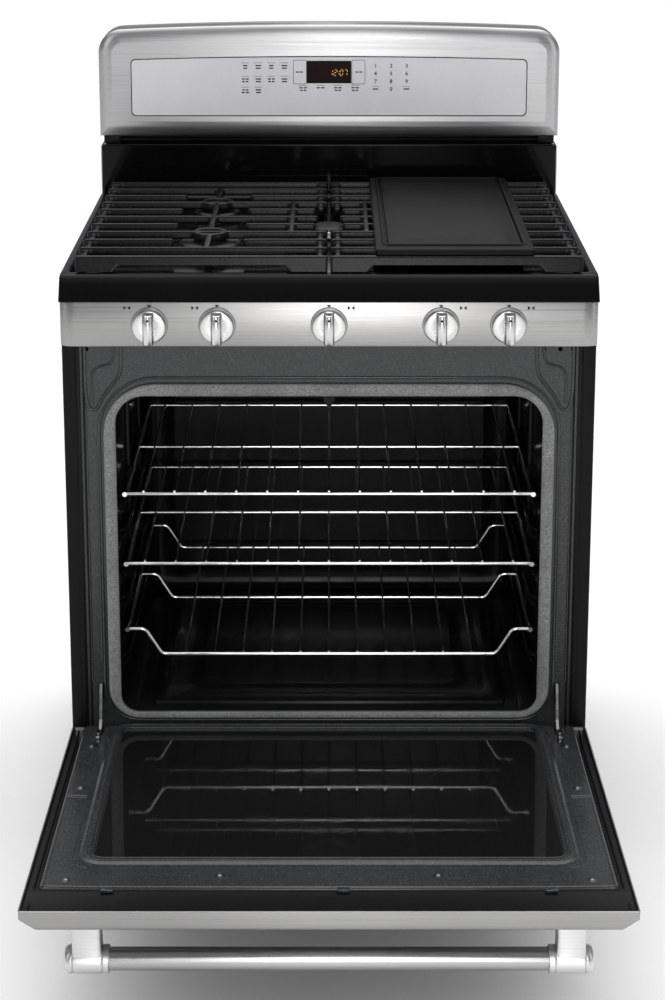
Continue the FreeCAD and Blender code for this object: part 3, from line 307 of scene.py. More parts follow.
def plain_floor(name, tone):
    """A matt sweep with barely visible unevenness."""
    sweep = Material(name, Specular_IOR_Level=0.1)
    cloud = sweep.noise(3, 2.0)
    sweep.colour(sweep.ramp(cloud, (0.3, tone), (0.7, tone + 0.015)))
    return sweep.roughness(sweep.ramp(cloud, (0.3, 0.85), (0.7, 0.9))).material


def lit(name, tone, strength):
    """A glowing segment with slightly uneven light."""
    lamp = Material(name, Emission_Strength=strength, Roughness=0.4)
    glow = lamp.ramp(lamp.noise(900, 2.0), (0.2, scaled(tone, 0.8)), (0.8, tone))
    lamp.links.new(glow, lamp.shader.inputs["Emission Color"])
    return lamp.colour(glow).material


STEEL = (0.33, 0.327, 0.322)
M = {
    "panel": brushed("stainless_panel", STEEL, (3, 900, 900), 0.30),
    "door": brushed("stainless_door", STEEL, (3, 900, 900), 0.30),
    "console": brushed("console_silver", (0.44, 0.44, 0.443), (4, 700, 700), 0.33),
    "film": satin("overlay_film", (0.635, 0.63, 0.655), 0.42, 1500, 0.00001, Metallic=0.2),
    "enamel": speckled_enamel("speckled_enamel", (0.015, 0.0175, 0.0175), (0.10, 0.11, 0.11)),
    "cavity": gloss_enamel("cavity_enamel", (0.006, 0.0065, 0.007), 0.18),
    "black": gloss_enamel("gloss_black_enamel", (0.003, 0.003, 0.0033)),
    "paint": satin("black_paint", (0.0045, 0.0045, 0.005), 0.36, 500, Specular_IOR_Level=0.11),
    "iron": cast_iron("grate_iron", (0.006, 0.0063, 0.0066), 0.25),
    "cap": cast_iron("cap_enamel", (0.009, 0.009, 0.0095), 0.34),
    "griddle": satin("griddle_coating", (0.0065, 0.0068, 0.007), 0.4, 1300, 0.00005,
                     Specular_IOR_Level=0.07),
    "chrome": chrome("chrome_wire"),
    "bright": satin("bright_steel", (0.40, 0.40, 0.40), 0.3, 500, 0.00001, Metallic=1.0),
    "hinge": satin("hinge_plate", (0.17, 0.17, 0.17), 0.38, 130, 0.0004, Metallic=1.0),
    "zinc": galvanised("galvanised_sheet"),
    "screw": satin("screw_steel", (0.14, 0.14, 0.14), 0.28, 500, 0.00001, Metallic=1.0),
    "aluminium": satin("cast_aluminium", (0.5, 0.5, 0.51), 0.45, 420, 0.00012, Metallic=1.0),
    "brass": satin("machined_brass", (0.62, 0.44, 0.18), 0.32, 600, 0.00003, Metallic=1.0),
    "glass": tinted_glass("door_glass", (0.05, 0.052, 0.052), 0.85, 0.1),
    "dark_glass": tinted_glass("outer_door_glass", (0.012, 0.012, 0.013), 0.15, 0.15),
    "gasket": woven("gasket_weave"),
    "ceramic": satin("white_ceramic", (0.72, 0.70, 0.66), 0.22, 300, 0.00003, Coat_Weight=0.6),
    "rubber": satin("foot_rubber", (0.02, 0.02, 0.02), 0.7),
    "display": tinted_glass("display_pane", (0.014, 0.0035, 0.0035), 0.0, 0.03),
    "amber": lit("display_segments", (0.85, 0.47, 0.10), 0.5),
    "ink": satin("printed_ink", (0.012, 0.012, 0.014), 0.6, 1500, Specular_IOR_Level=0.1),
    "knob": turned("turned_knob", (0.60, 0.597, 0.59), 0.26),
    "bar": brushed("handle_tube", (0.42, 0.417, 0.41), (3, 900, 900), 0.24),
    "bracket": brushed("bracket_steel", (0.66, 0.657, 0.65), (3, 700, 700), 0.34),
    "floor": plain_floor("studio_floor", 0.90),
}

# ------------------------------------------------------------------ mesh tools

def finish_mesh(name, parts, material, replaces=(), body="cabinet", sharp=38):
    """Join parts, move them from range millimetres into the row frame, hang them on a body."""
    mesh = joined(parts)
    mesh.transform(DOOR_TO_ROW if body == "door" else TO_ROW)
    mesh.shade_smooth()
    mesh.set_sharp_from_angle(angle=math.radians(sharp))
    for face in mesh.polygons:
        if face.loop_total != 4 and face.area > 1e-6:
            face.use_smooth = False
    mesh.materials.clear()
    mesh.materials.append(M[material])
    piece = linked(name, mesh)
    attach(piece, body)
    if replaces:
        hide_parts(*replaces)
    return piece


def joined(parts):
    """One mesh from a part or a list of them: each is a mesh or a bmesh, and is used up."""
    whole = bmesh.new()
    for part in parts if isinstance(parts, list) else [parts]:
        if isinstance(part, bmesh.types.BMesh):
            mesh = bpy.data.meshes.new("part")
            part.to_mesh(mesh)
            part.free()
        else:
            mesh = part
        whole.from_mesh(mesh)
        bpy.data.meshes.remove(mesh)
    mesh = bpy.data.meshes.new("joined")
    whole.to_mesh(mesh)
    whole.free()
    return mesh


def skin_rings(rings, cap_first=True, cap_last=True, loop=False):
    """A surface through rings of points that all have the same count."""
    bm = bmesh.new()
    rows = [[bm.verts.new(p) for p in ring] for ring in rings]
    pairs = list(zip(rows, rows[1:]))
    if loop:
        pairs.append((rows[-1], rows[0]))
    for low, high in pairs:
        count = len(low)
        for k in range(count):
            bm.faces.new((low[k], low[(k + 1) % count], high[(k + 1) % count], high[k]))
    if not loop and cap_first:
        bm.faces.new(rows[0][::-1])
    if not loop and cap_last:
        bm.faces.new(rows[-1])
    bmesh.ops.recalc_face_normals(bm, faces=bm.faces[:])
    return bm


def round_rect(x0, x1, z0, z1, radius, steps=8):
    """The corner points of a rounded rectangle, as pairs; radius is one or four (from +x +z)."""
    radii = radius if isinstance(radius, tuple) else (radius,) * 4
    centres = ((x1, z1, 0), (x0, z1, 90), (x0, z0, 180), (x1, z0, 270))
    points = []
    for (x, z, start), r in zip(centres, radii):
        sx = -1 if x == x1 else 1
        sz = -1 if z == z1 else 1
        for k in range(steps + 1):
            turn = math.radians(start + 90 * k / steps)
            points.append((x + sx * r + r * math.cos(turn), z + sz * r + r * math.sin(turn)))
    return points


def facing(points, y):
    """Pairs seen from the front, placed at a depth."""
    return [(x, y, z) for x, z in points]


def lying(points, z):
    """Pairs seen from above, placed at a height."""
    return [(x, y, z) for x, y in points]


def plate(loops, thick, bevel, level=0.0):
    """An upright plate with holes and softened edges; its front face is at the level given."""
    curve = bpy.data.curves.new("plate", "CURVE")
    curve.dimensions = "2D"
    curve.fill_mode = "BOTH"
    for loop in loops:
        spline = curve.splines.new("POLY")
        spline.points.add(len(loop) - 1)
        for point, (u, v) in zip(spline.points, loop):
            point.co = (u, v, 0, 1)
        spline.use_cyclic_u = True
    curve.extrude = thick / 2 - bevel
    curve.bevel_depth = bevel
    curve.bevel_resolution = 2
    curve.offset = -bevel
    mesh = curve_mesh(curve)
    for vertex in mesh.vertices:
        u, v, w = vertex.co
        vertex.co = (u, level + thick / 2 - w, v)
    bm = bmesh.new()
    bm.from_mesh(mesh)
    bpy.data.meshes.remove(mesh)
    bmesh.ops.remove_doubles(bm, verts=bm.verts[:], dist=0.01)
    bmesh.ops.recalc_face_normals(bm, faces=bm.faces[:])
    return bm


def lathe(profile, centre, axis="y", steps=48, shape=None):
    """A profile of (along, radius) pairs turned about an axis through the centre."""
    rings = []
    for along, radius in profile:
        ring = []
        for k in range(steps):
            turn = 2 * math.pi * k / steps
            r = radius * (shape(turn, along) if shape else 1)
            a, b = r * math.cos(turn), r * math.sin(turn)
            ring.append({"x": (along, a, b), "y": (a, along, b), "z": (a, b, along)}[axis])
        rings.append([Vector(p) + Vector(centre) for p in ring])
    return skin_rings(rings)


def tube(points, radius, closed=False, order=3, sides=3):
    """A round bead or wire along a smooth path."""
    curve = bpy.data.curves.new("tube", "CURVE")
    curve.dimensions = "3D"
    spline = curve.splines.new("NURBS")
    spline.points.add(len(points) - 1)
    for target, point in zip(spline.points, points):
        target.co = (*point, 1)
    spline.use_cyclic_u = closed
    spline.order_u = min(order, len(points))
    spline.use_endpoint_u = not closed
    spline.resolution_u = 6
    curve.bevel_depth = radius
    curve.bevel_resolution = sides
    curve.use_fill_caps = True
    return curve_mesh(curve)


def block(x0, x1, y0, y1, z0, z1, bevel):
    """A block with rounded edges."""
    bm = bmesh.new()
    bmesh.ops.create_cube(bm, size=1)
    for v in bm.verts:
        v.co = ((x0 + x1) / 2 + v.co.x * (x1 - x0), (y0 + y1) / 2 + v.co.y * (y1 - y0),
                (z0 + z1) / 2 + v.co.z * (z1 - z0))
    bmesh.ops.bevel(bm, geom=bm.edges[:], offset=bevel, segments=2, affect="EDGES", profile=0.5)
    return bm


def side_block(side, near, far, *rest):
    """A block between two distances from the middle plane, on one side of it."""
    return block(*sorted((side * near, side * far)), *rest)


def circle(x, z, radius, count):
    """Pairs round a circle."""
    turns = [2 * math.pi * k / count for k in range(count)]
    return [(x + radius * math.cos(t), z + radius * math.sin(t)) for t in turns]


def front_ring(box, inset_x, inset_z, y, corner=4):
    """A rounded outline inside a box, seen from the front."""
    return facing(round_rect(-box.x1 + inset_x, box.x1 - inset_x, box.z0 + inset_z,
                             box.z1 - inset_z, corner, 4), y)


def top_ring(box, inset, front, z, corner):
    """A rounded outline inside a box, seen from above, with its own inset at the front."""
    return lying(round_rect(box.x0 + inset, box.x1 - inset, box.y0 + front, box.y1 - inset,
                            corner, 6), z)


def paint_nodes(material, *nodes):
    """Give CAD nodes that keep their own shape their finish."""
    for node in nodes:
        mesh = frame["nodes"][node].data
        mesh.materials.clear()
        mesh.materials.append(M[material])
        mesh.polygons.foreach_set("material_index", [0] * len(mesh.polygons))


# ------------------------------------------------------------------ backguard

def guard_outline(box, inset, low_inset, corner=38.0, arch=9.0):
    """The console's outline: square foot, round upper corners and a slightly arched top."""
    half = box.x1 - inset
    radius = max(corner - inset, 6.0)
    top = box.z1 - inset
    low = box.z0 + low_inset
    right = [(half, low)]
    for k in range(13):
        turn = math.radians(90 * k / 12)
        right.append((half - radius * (1 - math.cos(turn)),
                      top - arch - radius * (1 - math.sin(turn)) + 1.6 * k / 12))
    across = [(half - radius) * (1 - k / 12) for k in range(1, 24)]
    left = [(-x, z) for x, z in reversed(right)]
    return left[-1:] + right + [(x, top - arch * (x / box.x1) ** 2) for x in across] + left[:-1]


def build_backguard():
    """The console: a domed frame, the overlay in it and the display pane."""
    box = span("backguard_shell")
    bevel_in, bevel_deep = 22.0, 11.0
    rings = []
    for k in range(9):
        turn = math.radians(72 * (1 - k / 8))
        share = (1 - math.cos(turn)) / (1 - math.cos(math.radians(72)))
        depth = 1 - math.sin(turn) / math.sin(math.radians(72))
        rings.append(facing(guard_outline(box, bevel_in * share, bevel_in * share * 1.15),
                            box.y0 + bevel_deep * depth))
    rings.append(facing(guard_outline(box, 0, 0), box.y1))
    rings.append(facing(guard_outline(box, 3, 3), box.y1))
    rings.append(facing(guard_outline(box, 3, 3), box.y0 + 22))
    finish_mesh("backguard_console", skin_rings(rings), "console",
                ["backguard_shell"], sharp=14)

    panel = span("control_overlay")
    display = span("display_window")

    def arched(points):
        """More points along the top edge, so that it can arch."""
        dense = []
        for k, (x, z) in enumerate(points):
            nx, nz = points[(k + 1) % len(points)]
            dense.append((x, z))
            if abs(nx - x) > 100:
                dense += [(x + (nx - x) * j / 12, z + (nz - z) * j / 12) for j in range(1, 12)]
        return dense

    def arched_overlay(inset):
        flat = arched(round_rect(panel.x0 + inset, panel.x1 - inset, panel.z0 + inset,
                                 panel.z1 - 5 - inset, 8.0 - inset * 0.5, 6))
        return [(x, z + 5 * (1 - (x / panel.x1) ** 2) if z > panel.z1 - 20 else z)
                for x, z in flat]

    window = round_rect(display.x0, display.x1, display.z0, display.z1, 0.8, 2)
    finish_mesh("overlay_sheet", plate([arched_overlay(0), window], 1.0, 0.2, level=panel.y0),
                "film", ["control_overlay"])
    finish_mesh("overlay_border", plate([arched_overlay(0.3), arched_overlay(1.9)], 0.3, 0.05,
                level=panel.y0 - 0.12), "ink")
    finish_mesh("display_pane", plate([window], 1.4, 0.2, level=display.y0),
                "display", ["display_window"])
    build_clock(display)
    build_key_marks(panel, display)


SEGMENTS = {
    "0": "abcdef", "1": "bc", "2": "abged", "7": "abc",
}


def build_clock(display):
    """A seven-segment clock, slightly slanted, at the display's right."""
    tall, wide, stroke = 9.6, 4.6, 1.0
    slant = 0.14
    level = display.y0 - 0.12
    low = display.z - tall / 2 - 1

    def stick(x0, z0, x1, z1):
        """One segment as a thin pointed bar."""
        along = Vector((x1 - x0, z1 - z0)).normalized()
        side = Vector((-along.y, along.x)) * stroke / 2
        a, b = Vector((x0, z0)) + along * 0.7, Vector((x1, z1)) - along * 0.7
        outline = [a, a + along * 0.8 + side, b - along * 0.8 + side, b,
                   b - along * 0.8 - side, a + along * 0.8 - side]
        return plate([[(p.x + (p.y - low) * slant, p.y) for p in outline]], 0.2, 0.04, level=level)

    parts = []
    x = display.x1 - 5 - 4 * (wide + 2.4) - 3
    for symbol in "12:07":
        if symbol == ":":
            for z in (low + tall * 0.3, low + tall * 0.68):
                dot = circle(x + 1 + (z - low) * slant, z, 0.6, 8)
                parts.append(plate([dot], 0.2, 0.04, level=level))
            x += 3.0
            continue
        mid, high, right = low + tall / 2, low + tall, x + wide
        ends = {"a": (x, high, right, high), "b": (right, high, right, mid),
                "c": (right, mid, right, low), "d": (x, low, right, low), "e": (x, mid, x, low),
                "f": (x, high, x, mid), "g": (x, mid, right, mid)}
        parts += [stick(*ends[key]) for key in SEGMENTS[symbol]]
        x += wide + 2.4
    finish_mesh("clock_segments", parts, "amber")


def text_mesh(text, size, x, z, level):
    """A flat printed character set in the built-in face, centred on a point."""
    curve = bpy.data.curves.new("text", "FONT")
    curve.body = text
    curve.size = size
    curve.align_x = "CENTER"
    curve.align_y = "CENTER"
    curve.extrude = 0.05
    curve.offset = size * 0.02
    mesh = curve_mesh(curve)
    for vertex in mesh.vertices:
        u, v, w = vertex.co
        vertex.co = (x + u, level - 0.05 - w, z + v)
    return mesh


def build_key_marks(panel, display):
    """Legend bars, key outlines and the digit keys of the membrane, with no words."""
    level = panel.y0
    marks = []

    def dash(x, z, width, height=2.1):
        marks.append(plate([round_rect(x - width / 2, x + width / 2, z - height / 2,
                                       z + height / 2, height * 0.35, 2)], 0.16, 0.03,
                           level=level - 0.12))

    def legend(x, z, widths):
        """Lines of a key's legend, each shown as a row of short dashes."""
        for row, width in enumerate(widths):
            parts = 2 if width > 11 else 1
            step = width / parts
            for k in range(parts):
                dash(x - width / 2 + step * (k + 0.5), z - row * 4.2, step - 1.4)

    top, mid = display.z1, display.z
    columns = [display.x0 - 101 + 21.4 * k for k in range(4)]
    for row, z in enumerate((top - 8, top - 30, top - 48)):
        for k, x in enumerate(columns):
            if row == 2 and k > 1:
                continue
            legend(x, z, ((9, 8), (13, 12), (12, 14))[row] if k % 2 == 0 else (11, 10))
            dash(x, z + 4.6, 13, 0.6)
    for k in range(4):
        legend(display.x0 - 6 + 28.5 * k, display.z0 - 7.5, (14, 12) if k != 1 else (15,))
        dash(display.x0 - 6 + 28.5 * k, display.z0 - 3.6, 14, 0.6)
    frame_low, frame_high = display.z0 - 1.5, display.z1 + 1.5
    for side in (-1, 1):
        edge = display.x1 + 23
        left, right = sorted((side * display.x1, side * edge))
        marks.append(plate([round_rect(left + 0.6, right, frame_low, frame_high, 2.5, 3),
                            round_rect(left + 1.4, right - 0.8, frame_low + 0.8, frame_high - 0.8,
                                       2.2, 3)], 0.16, 0.03, level=level - 0.12))
        legend((left + right) / 2 + side, mid, (13,))
    for k, digit in enumerate("1234567890"):
        column, row = (k % 3, k // 3) if k < 9 else (1, 3)
        x = display.x1 + 40 + 25.5 * column
        marks.append(text_mesh(digit, 8.8, x, top - 8.5 - 12.8 * row, level - 0.08))
    for column in (0, 2):
        legend(display.x1 + 40 + 25.5 * column, top - 46.5, (11,))
        dash(display.x1 + 40 + 25.5 * column, top - 42.5, 12, 0.6)
    finish_mesh("key_marks", marks, "ink")


def build_backsplash():
    """The black splash panel, the vent above it and the bright end strips."""
    box = span("backsplash")
    deck = span("cooktop")
    guard = span("backguard_shell")
    half = box.x1
    top = guard.z0 - 13
    rings = []
    for k in range(5):
        turn = math.radians(90 - 90 * k / 4)
        inset = 3.0 * (1 - math.cos(turn))
        outline = round_rect(-half + inset, half - inset, deck.z0 + 2, top - inset,
                             (11 - inset, 11 - inset, 2, 2))
        rings.append(facing(outline, box.y0 + 3.0 * (1 - math.sin(turn))))
    rings.append(facing(round_rect(-half, half, deck.z0 + 2, top, (11, 11, 2, 2)), box.y1 - 2))
    inner = round_rect(2 - half, half - 2, deck.z0 + 4, top - 2, (9, 9, 2, 2))
    rings += [facing(inner, box.y1 - 2), facing(inner, box.y0 + 6)]
    splash = skin_rings(rings)
    vent_low, vent_high = top + 0.2, guard.z0 + 1
    vent_y = guard.y0 + 16
    vent = [block(-half + 20, half - 20, vent_y + 8, guard.y1 - 6, vent_low, vent_high, 1),
            block(-half + 22, half - 22, vent_y - 4, vent_y + 9, vent_low + 5.5, vent_low + 8, 0.8)]
    for side in (-1, 1):
        vent.append(side_block(side, half - 3, half - 30, vent_y - 6, guard.y1 - 6, vent_low,
                               vent_high, 1.5))
    vent.append(block(-half + 40, half - 40, guard.y0 + 30, guard.y0 + 40, guard.z0, box.z1, 1))
    finish_mesh("splash_panel", splash, "black", ["backsplash"])
    finish_mesh("vent_louvre", vent, "paint", ["backsplash"])
    for side, name in ((-1, "left"), (1, "right")):
        strip = side_block(side, guard.x1 - 0.6, guard.x1 - 2.8, box.y0 + 2, box.y1, deck.z1 - 8,
                           top - 4, 0.8)
        finish_mesh(f"splash_edge_{name}", strip, "console")


# ------------------------------------------------------------------ cooktop

def burner_spots():
    """Each burner's middle, its cap's radius and its cap's box."""
    spots = {}
    for name in BURNERS:
        box = span(f"burner_cap_{name}")
        spots[name] = (box.x, box.y, (box.y1 - box.y0) / 2, box)
    return spots


def build_cooktop():
    """The deck: a leaning front, a raised rim and wells under the burners."""
    box = span("cooktop")
    lean = 23.0
    rim = 14.0
    floor_z = box.z1 - 7
    half = box.x1

    def outline(inset, front, corner):
        return round_rect(-half + inset, half - inset, front, box.y1 - inset, corner, 5)

    rings = [
        lying(outline(0, box.y0 + 0.5, 5), box.z0),
        lying(outline(0, box.y0, 5), box.z0 + 1.5),
        lying(outline(0, box.y0 + lean * 0.62, 6), box.z1 - 12),
        lying(outline(0, box.y0 + lean * 0.86, 6), box.z1 - 4.5),
        lying(outline(0.8, box.y0 + lean - 0.5, 7), box.z1 - 1.2),
        lying(outline(2.6, box.y0 + lean + 1.8, 8), box.z1),
        lying(outline(rim - 5, rim - 7, 10), box.z1),
        lying(outline(rim - 2.5, rim - 4, 12), box.z1 - 1.2),
        lying(outline(rim, rim - 1, 14), box.z1 - 5),
        lying(outline(rim + 3, rim + 3, 16), floor_z),
    ]
    shell = skin_rings(rings, True, False)
    spots = burner_spots()
    inner = rim + 3.0
    across, deep = 150, 118
    grid = bmesh.new()

    def depth(x, y):
        """Shallow round wells under the burners and a soft crease between the zones."""
        fall = 0.0
        for bx, by, radius, _ in spots.values():
            away = math.hypot(x - bx, y - by)
            well = radius + 44
            blend = min(max((well - away) / 14, 0), 1)
            fall += 2.6 * blend * blend * (3 - 2 * blend)
            seat = min(max((radius + 6 - away) / 5, 0), 1)
            fall -= 2.6 * seat * seat * (3 - 2 * seat)
        return min(fall, 2.6)

    rows = []
    for j in range(deep + 1):
        y = inner + (box.y1 - 2 * inner) * j / deep
        rows.append([grid.verts.new((x, y, floor_z - depth(x, y)))
                     for x in (-half + inner + 2 * (half - inner) * i / across
                               for i in range(across + 1))])
    for low, high in zip(rows, rows[1:]):
        for k in range(across):
            grid.faces.new((low[k], low[k + 1], high[k + 1], high[k]))
    finish_mesh("cooktop_deck", [shell, grid], "black", ["cooktop"], sharp=30)


def build_burners():
    """Ported heads, spark plugs and caps."""
    bases, plugs = [], []
    for name, (x, y, radius, cap) in burner_spots().items():
        floor_z = span("cooktop").z1 - 7
        outer = radius - 4
        teeth = 26 if radius > 40 else 20

        def ports(turn, along):
            """Flame ports are notches round the head's upper edge."""
            notched = along > 4.5 and math.cos(turn * teeth) > 0.45
            return 0.93 if notched else 1.0

        bases.append(lathe([(0, outer + 3), (1.2, outer + 3.4), (2.4, outer + 1), (4.4, outer),
                            (4.8, outer), (7.6, outer - 0.6), (8, outer - 2), (8, outer - 9),
                            (3, outer - 11)], (x, y, floor_z), "z", teeth * 8, ports))
        plugs.append(lathe([(0, 3.4), (3, 3.4), (3.6, 2.6), (9, 2.4), (9.8, 1.6), (10, 0.7),
                            (13, 0.6)], (x, y - outer - 6, floor_z), "z", 20))
        low, high = cap.z0 + 5, cap.z1
        disc = lathe([(low, radius - 6), (low, radius - 1.6), (low + 1.2, radius - 0.3),
                      (low + 3.4, radius), (low + 5.2, radius - 1.4), (high - 0.7, radius - 5),
                      (high - 0.2, radius - 12), (high, radius * 0.45), (high, 1)],
                     (x, y, 0), "z", 96)
        finish_mesh(f"flame_cap_{name}", disc, "cap", [f"burner_cap_{name}"],
                    body=f"cap_{name}")
    finish_mesh("burner_heads", bases, "aluminium", ["burner_bases"])
    finish_mesh("spark_plugs", plugs, "ceramic", ["igniters"])


def cast_bar(x0, y0, x1, y1, low, high, foot=9.5, head=6.6):
    """A tapered casting from one point to another, its ends drawn in and rounded."""
    start, end = Vector((x0, y0, 0)), Vector((x1, y1, 0))
    along = (end - start).normalized()
    side = Vector((-along.y, along.x, 0))
    length = (end - start).length
    section = [(-foot / 2, low), (foot / 2, low), (foot / 2 - 0.3, low + 3), (head / 2, high - 1.8),
               (head / 2 - 0.9, high - 0.5), (0, high), (-head / 2 + 0.9, high - 0.5),
               (-head / 2, high - 1.8), (-foot / 2 + 0.3, low + 3)]
    middle = (low + high) / 2
    rings = []
    for step, shrink in ((0, 0.62), (1.2, 0.86), (3.5, 1.0), (length - 3.5, 1.0),
                         (length - 1.2, 0.86), (length, 0.62)):
        base = start + along * step
        rings.append([base + side * u * shrink + Vector((0, 0, middle + (z - middle) * shrink))
                      for u, z in section])
    return skin_rings(rings)


def remeshed(parts, voxel, smooth):
    """One cast skin over overlapping parts, with small fillets where they meet."""
    mesh = joined(parts)
    mesh.transform(Matrix.Scale(MM, 4))
    holder = linked("casting", mesh)
    weld = holder.modifiers.new("weld", "REMESH")
    weld.mode = "VOXEL"
    weld.voxel_size = voxel * MM
    soften = holder.modifiers.new("soften", "SMOOTH")
    soften.iterations = smooth
    soften.factor = 0.5
    result = bpy.data.meshes.new_from_object(
        holder.evaluated_get(bpy.context.evaluated_depsgraph_get()))
    bpy.data.objects.remove(holder)
    result.transform(Matrix.Scale(1 / MM, 4))
    return result


def build_grate(side, name):
    """One cast grate: cross bars, fingers, a spine with two rings, rails and aprons."""
    box = span(f"grate_{name}")
    inner, outer = (box.x0, box.x1) if side > 0 else (-box.x1, -box.x0)
    low, high = box.z1 - 12, box.z1
    front, rear = box.y0, box.y1
    spots = burner_spots()
    spine_x, front_y, _, _ = spots["front_right"]
    rear_y = spots["rear_right"][1]
    half_bar = 4.7
    rows = 11
    pitch = (rear - front - 2 * half_bar) / (rows - 1)
    reach = 50.0
    parts = []

    def across(start, end, y):
        parts.append(cast_bar(side * start, y, side * end, y, low, high))

    def along(x, start, end, foot=10.5, head=8.0, drop=0.0):
        parts.append(cast_bar(side * x, start, side * x, end, low - drop, high - drop, foot,
                              head))

    for row in range(rows):
        y = front + half_bar + row * pitch
        start = {4: 20, 5: 16, 6: 20}.get(row, inner)
        if row in (2, 4, 6, 8):
            across(start, spine_x - reach, y)
            across(spine_x + reach, outer, y)
        else:
            across(start, outer, y)
    for start, end in ((front + 62, front_y - 22), (front_y + 22, rear_y - 22),
                       (rear_y + 22, rear - 62)):
        along(spine_x, start, end, 12, 9.5)
    along(56, front_y, rear_y, 12, 9)
    for x in (outer - 4.8, inner + 4.8):
        gap = (front + half_bar + 4 * pitch - 4, front + half_bar + 6 * pitch + 4)
        if x > 60:
            along(x - 5, front + 2, rear - 2, drop=4.5)
        else:
            along(x + 6, front + 2, gap[0] - 20, drop=4.5)
            along(x + 6, gap[1] + 20, rear - 2, drop=4.5)
    for y in (front_y, rear_y):
        ring = [(r, z) for r, z in ((18, low), (26.5, low), (27, low + 3), (25.4, high - 1),
                                    (24, high), (20, high), (18.6, high - 1), (17.8, low + 3))]
        steps = 48
        rings = []
        for k in range(steps):
            turn = 2 * math.pi * k / steps
            rings.append([(side * spine_x + r * math.cos(turn), y + r * math.sin(turn), z)
                          for r, z in ring])
        parts.append(skin_rings(rings, loop=True))
    skirt = box.z0 + 7.2
    for y, lean in ((front + 4, -7.0), (rear - 4, 2.0)):
        left, right = sorted((side * inner, side * outer))
        cut_left, cut_right = left + 62, right - 62
        rise = 9.0
        outline = [(left, skirt), (cut_left - 8, skirt), (cut_left, skirt + rise),
                   (cut_right, skirt + rise), (cut_right + 8, skirt), (right, skirt),
                   (right, high - 0.6), (left, high - 0.6)]
        tall = high - skirt
        parts.append(skin_rings([
            [(x, y + shift + lean * (high - z) / tall, z) for x, z in outline]
            for shift in (-4, 4)]))
    for x in (inner + 8, outer - 8):
        for y in (front + 8, rear - 8):
            parts.append(lathe([(box.z0, 4), (box.z0 + 1.5, 5), (high - 6, 6)],
                               (side * x, y, 0), "z", 20))
    mesh = remeshed(parts, 1.5, 4)
    finish_mesh(f"cast_grate_{name}", mesh, "iron", [f"grate_{name}"],
                body=f"{name}_grate", sharp=70)


def build_griddle():
    """A cast plate with a raised bead, a grease channel and a flat middle."""
    box = span("griddle")
    lip = 22.0
    low, high = box.z0, box.z1
    section = (
        (1.5, 1.5, low, 4), (0.3, 0.3, low + 1.2, 5), (0, 0, high - 4.4, 5),
        (0.8, 0.8, high - 3.4, 5), (2, 2, high - 3, 5), (8.5, lip - 1, high - 3, 7),
        (9.4, lip, high - 2.6, 8), (10.4, lip + 1, high - 0.5, 9), (11.2, lip + 1.8, high, 9),
        (12.8, lip + 3.4, high, 9), (13.6, lip + 4.2, high - 0.5, 9), (15, lip + 6, high - 6, 9),
        (17.5, lip + 17, high - 6.4, 8), (18.5, lip + 19, high - 3.8, 7),
        (20, lip + 20.5, high - 3.2, 7), (60, 80, high - 3.1, 6))
    rings = [top_ring(box, *step) for step in section]
    finish_mesh("griddle_plate", skin_rings(rings), "griddle", ["griddle"],
                body="griddle")


# ------------------------------------------------------------------ control panel

def build_control_panel():
    """The steel fascia with a bezel, a pointer mark and a burner mark for each knob."""
    box = span("control_panel")
    face = box.y0 + 4
    half = box.x1
    bend = 22.0

    def plan(inset):
        """The panel seen from above: straight face, ends rolled back."""
        points = [(-half + inset, -0.2)]
        for k in range(9):
            turn = math.radians(90 * k / 8)
            points.append((-half + bend - (bend - inset) * math.cos(turn),
                           face + 9 - (9 - inset) * math.sin(turn)))
        return points + [(-x, y) for x, y in reversed(points)]

    inner = plan(1.6)
    levels = ((1.6, box.z0), (0.4, box.z0 + 0.4), (0, box.z0 + 1.6), (0, box.z1 - 1.2),
              (0.5, box.z1 - 0.2))
    shell = skin_rings([lying(plan(inset) + inner[::-1], z) for inset, z in levels])
    finish_mesh("control_fascia", shell, "panel", ["control_panel"])

    bezels, marks = [], []
    level = face - 0.12
    for k in range(1, KNOB_COUNT + 1):
        knob = span(f"knob_{k}")
        x, z = knob.x, knob.z
        bezels.append(lathe([(0.5, 26.2), (-0.4, 26.0), (-1.2, 25.2), (-1.5, 24.4), (-1.4, 23.6),
                             (0.5, 23.2)], (x, face, z), "y", 72))
        tip = z + 26
        marks.append(plate([[(x - 3.4, tip + 3.4), (x, tip - 0.4), (x + 3.4, tip + 3.4)]], 0.16,
                           0.03, level=level))
        side = -1 if k < 3 else 1
        icon_x, icon_z = x + side * 31, z + 25
        for turn in (-1, 1):
            tail = icon_x + turn * 4.8
            marks.append(plate([[(tail, icon_z + 3.0), (icon_x + turn * 0.5, icon_z),
                                 (tail, icon_z - 3.0)]], 0.16, 0.02, level=level))
        build_knob(k, knob, x, z)
    finish_mesh("knob_bezels", bezels, "panel")
    finish_mesh("panel_marks", marks, "ink")


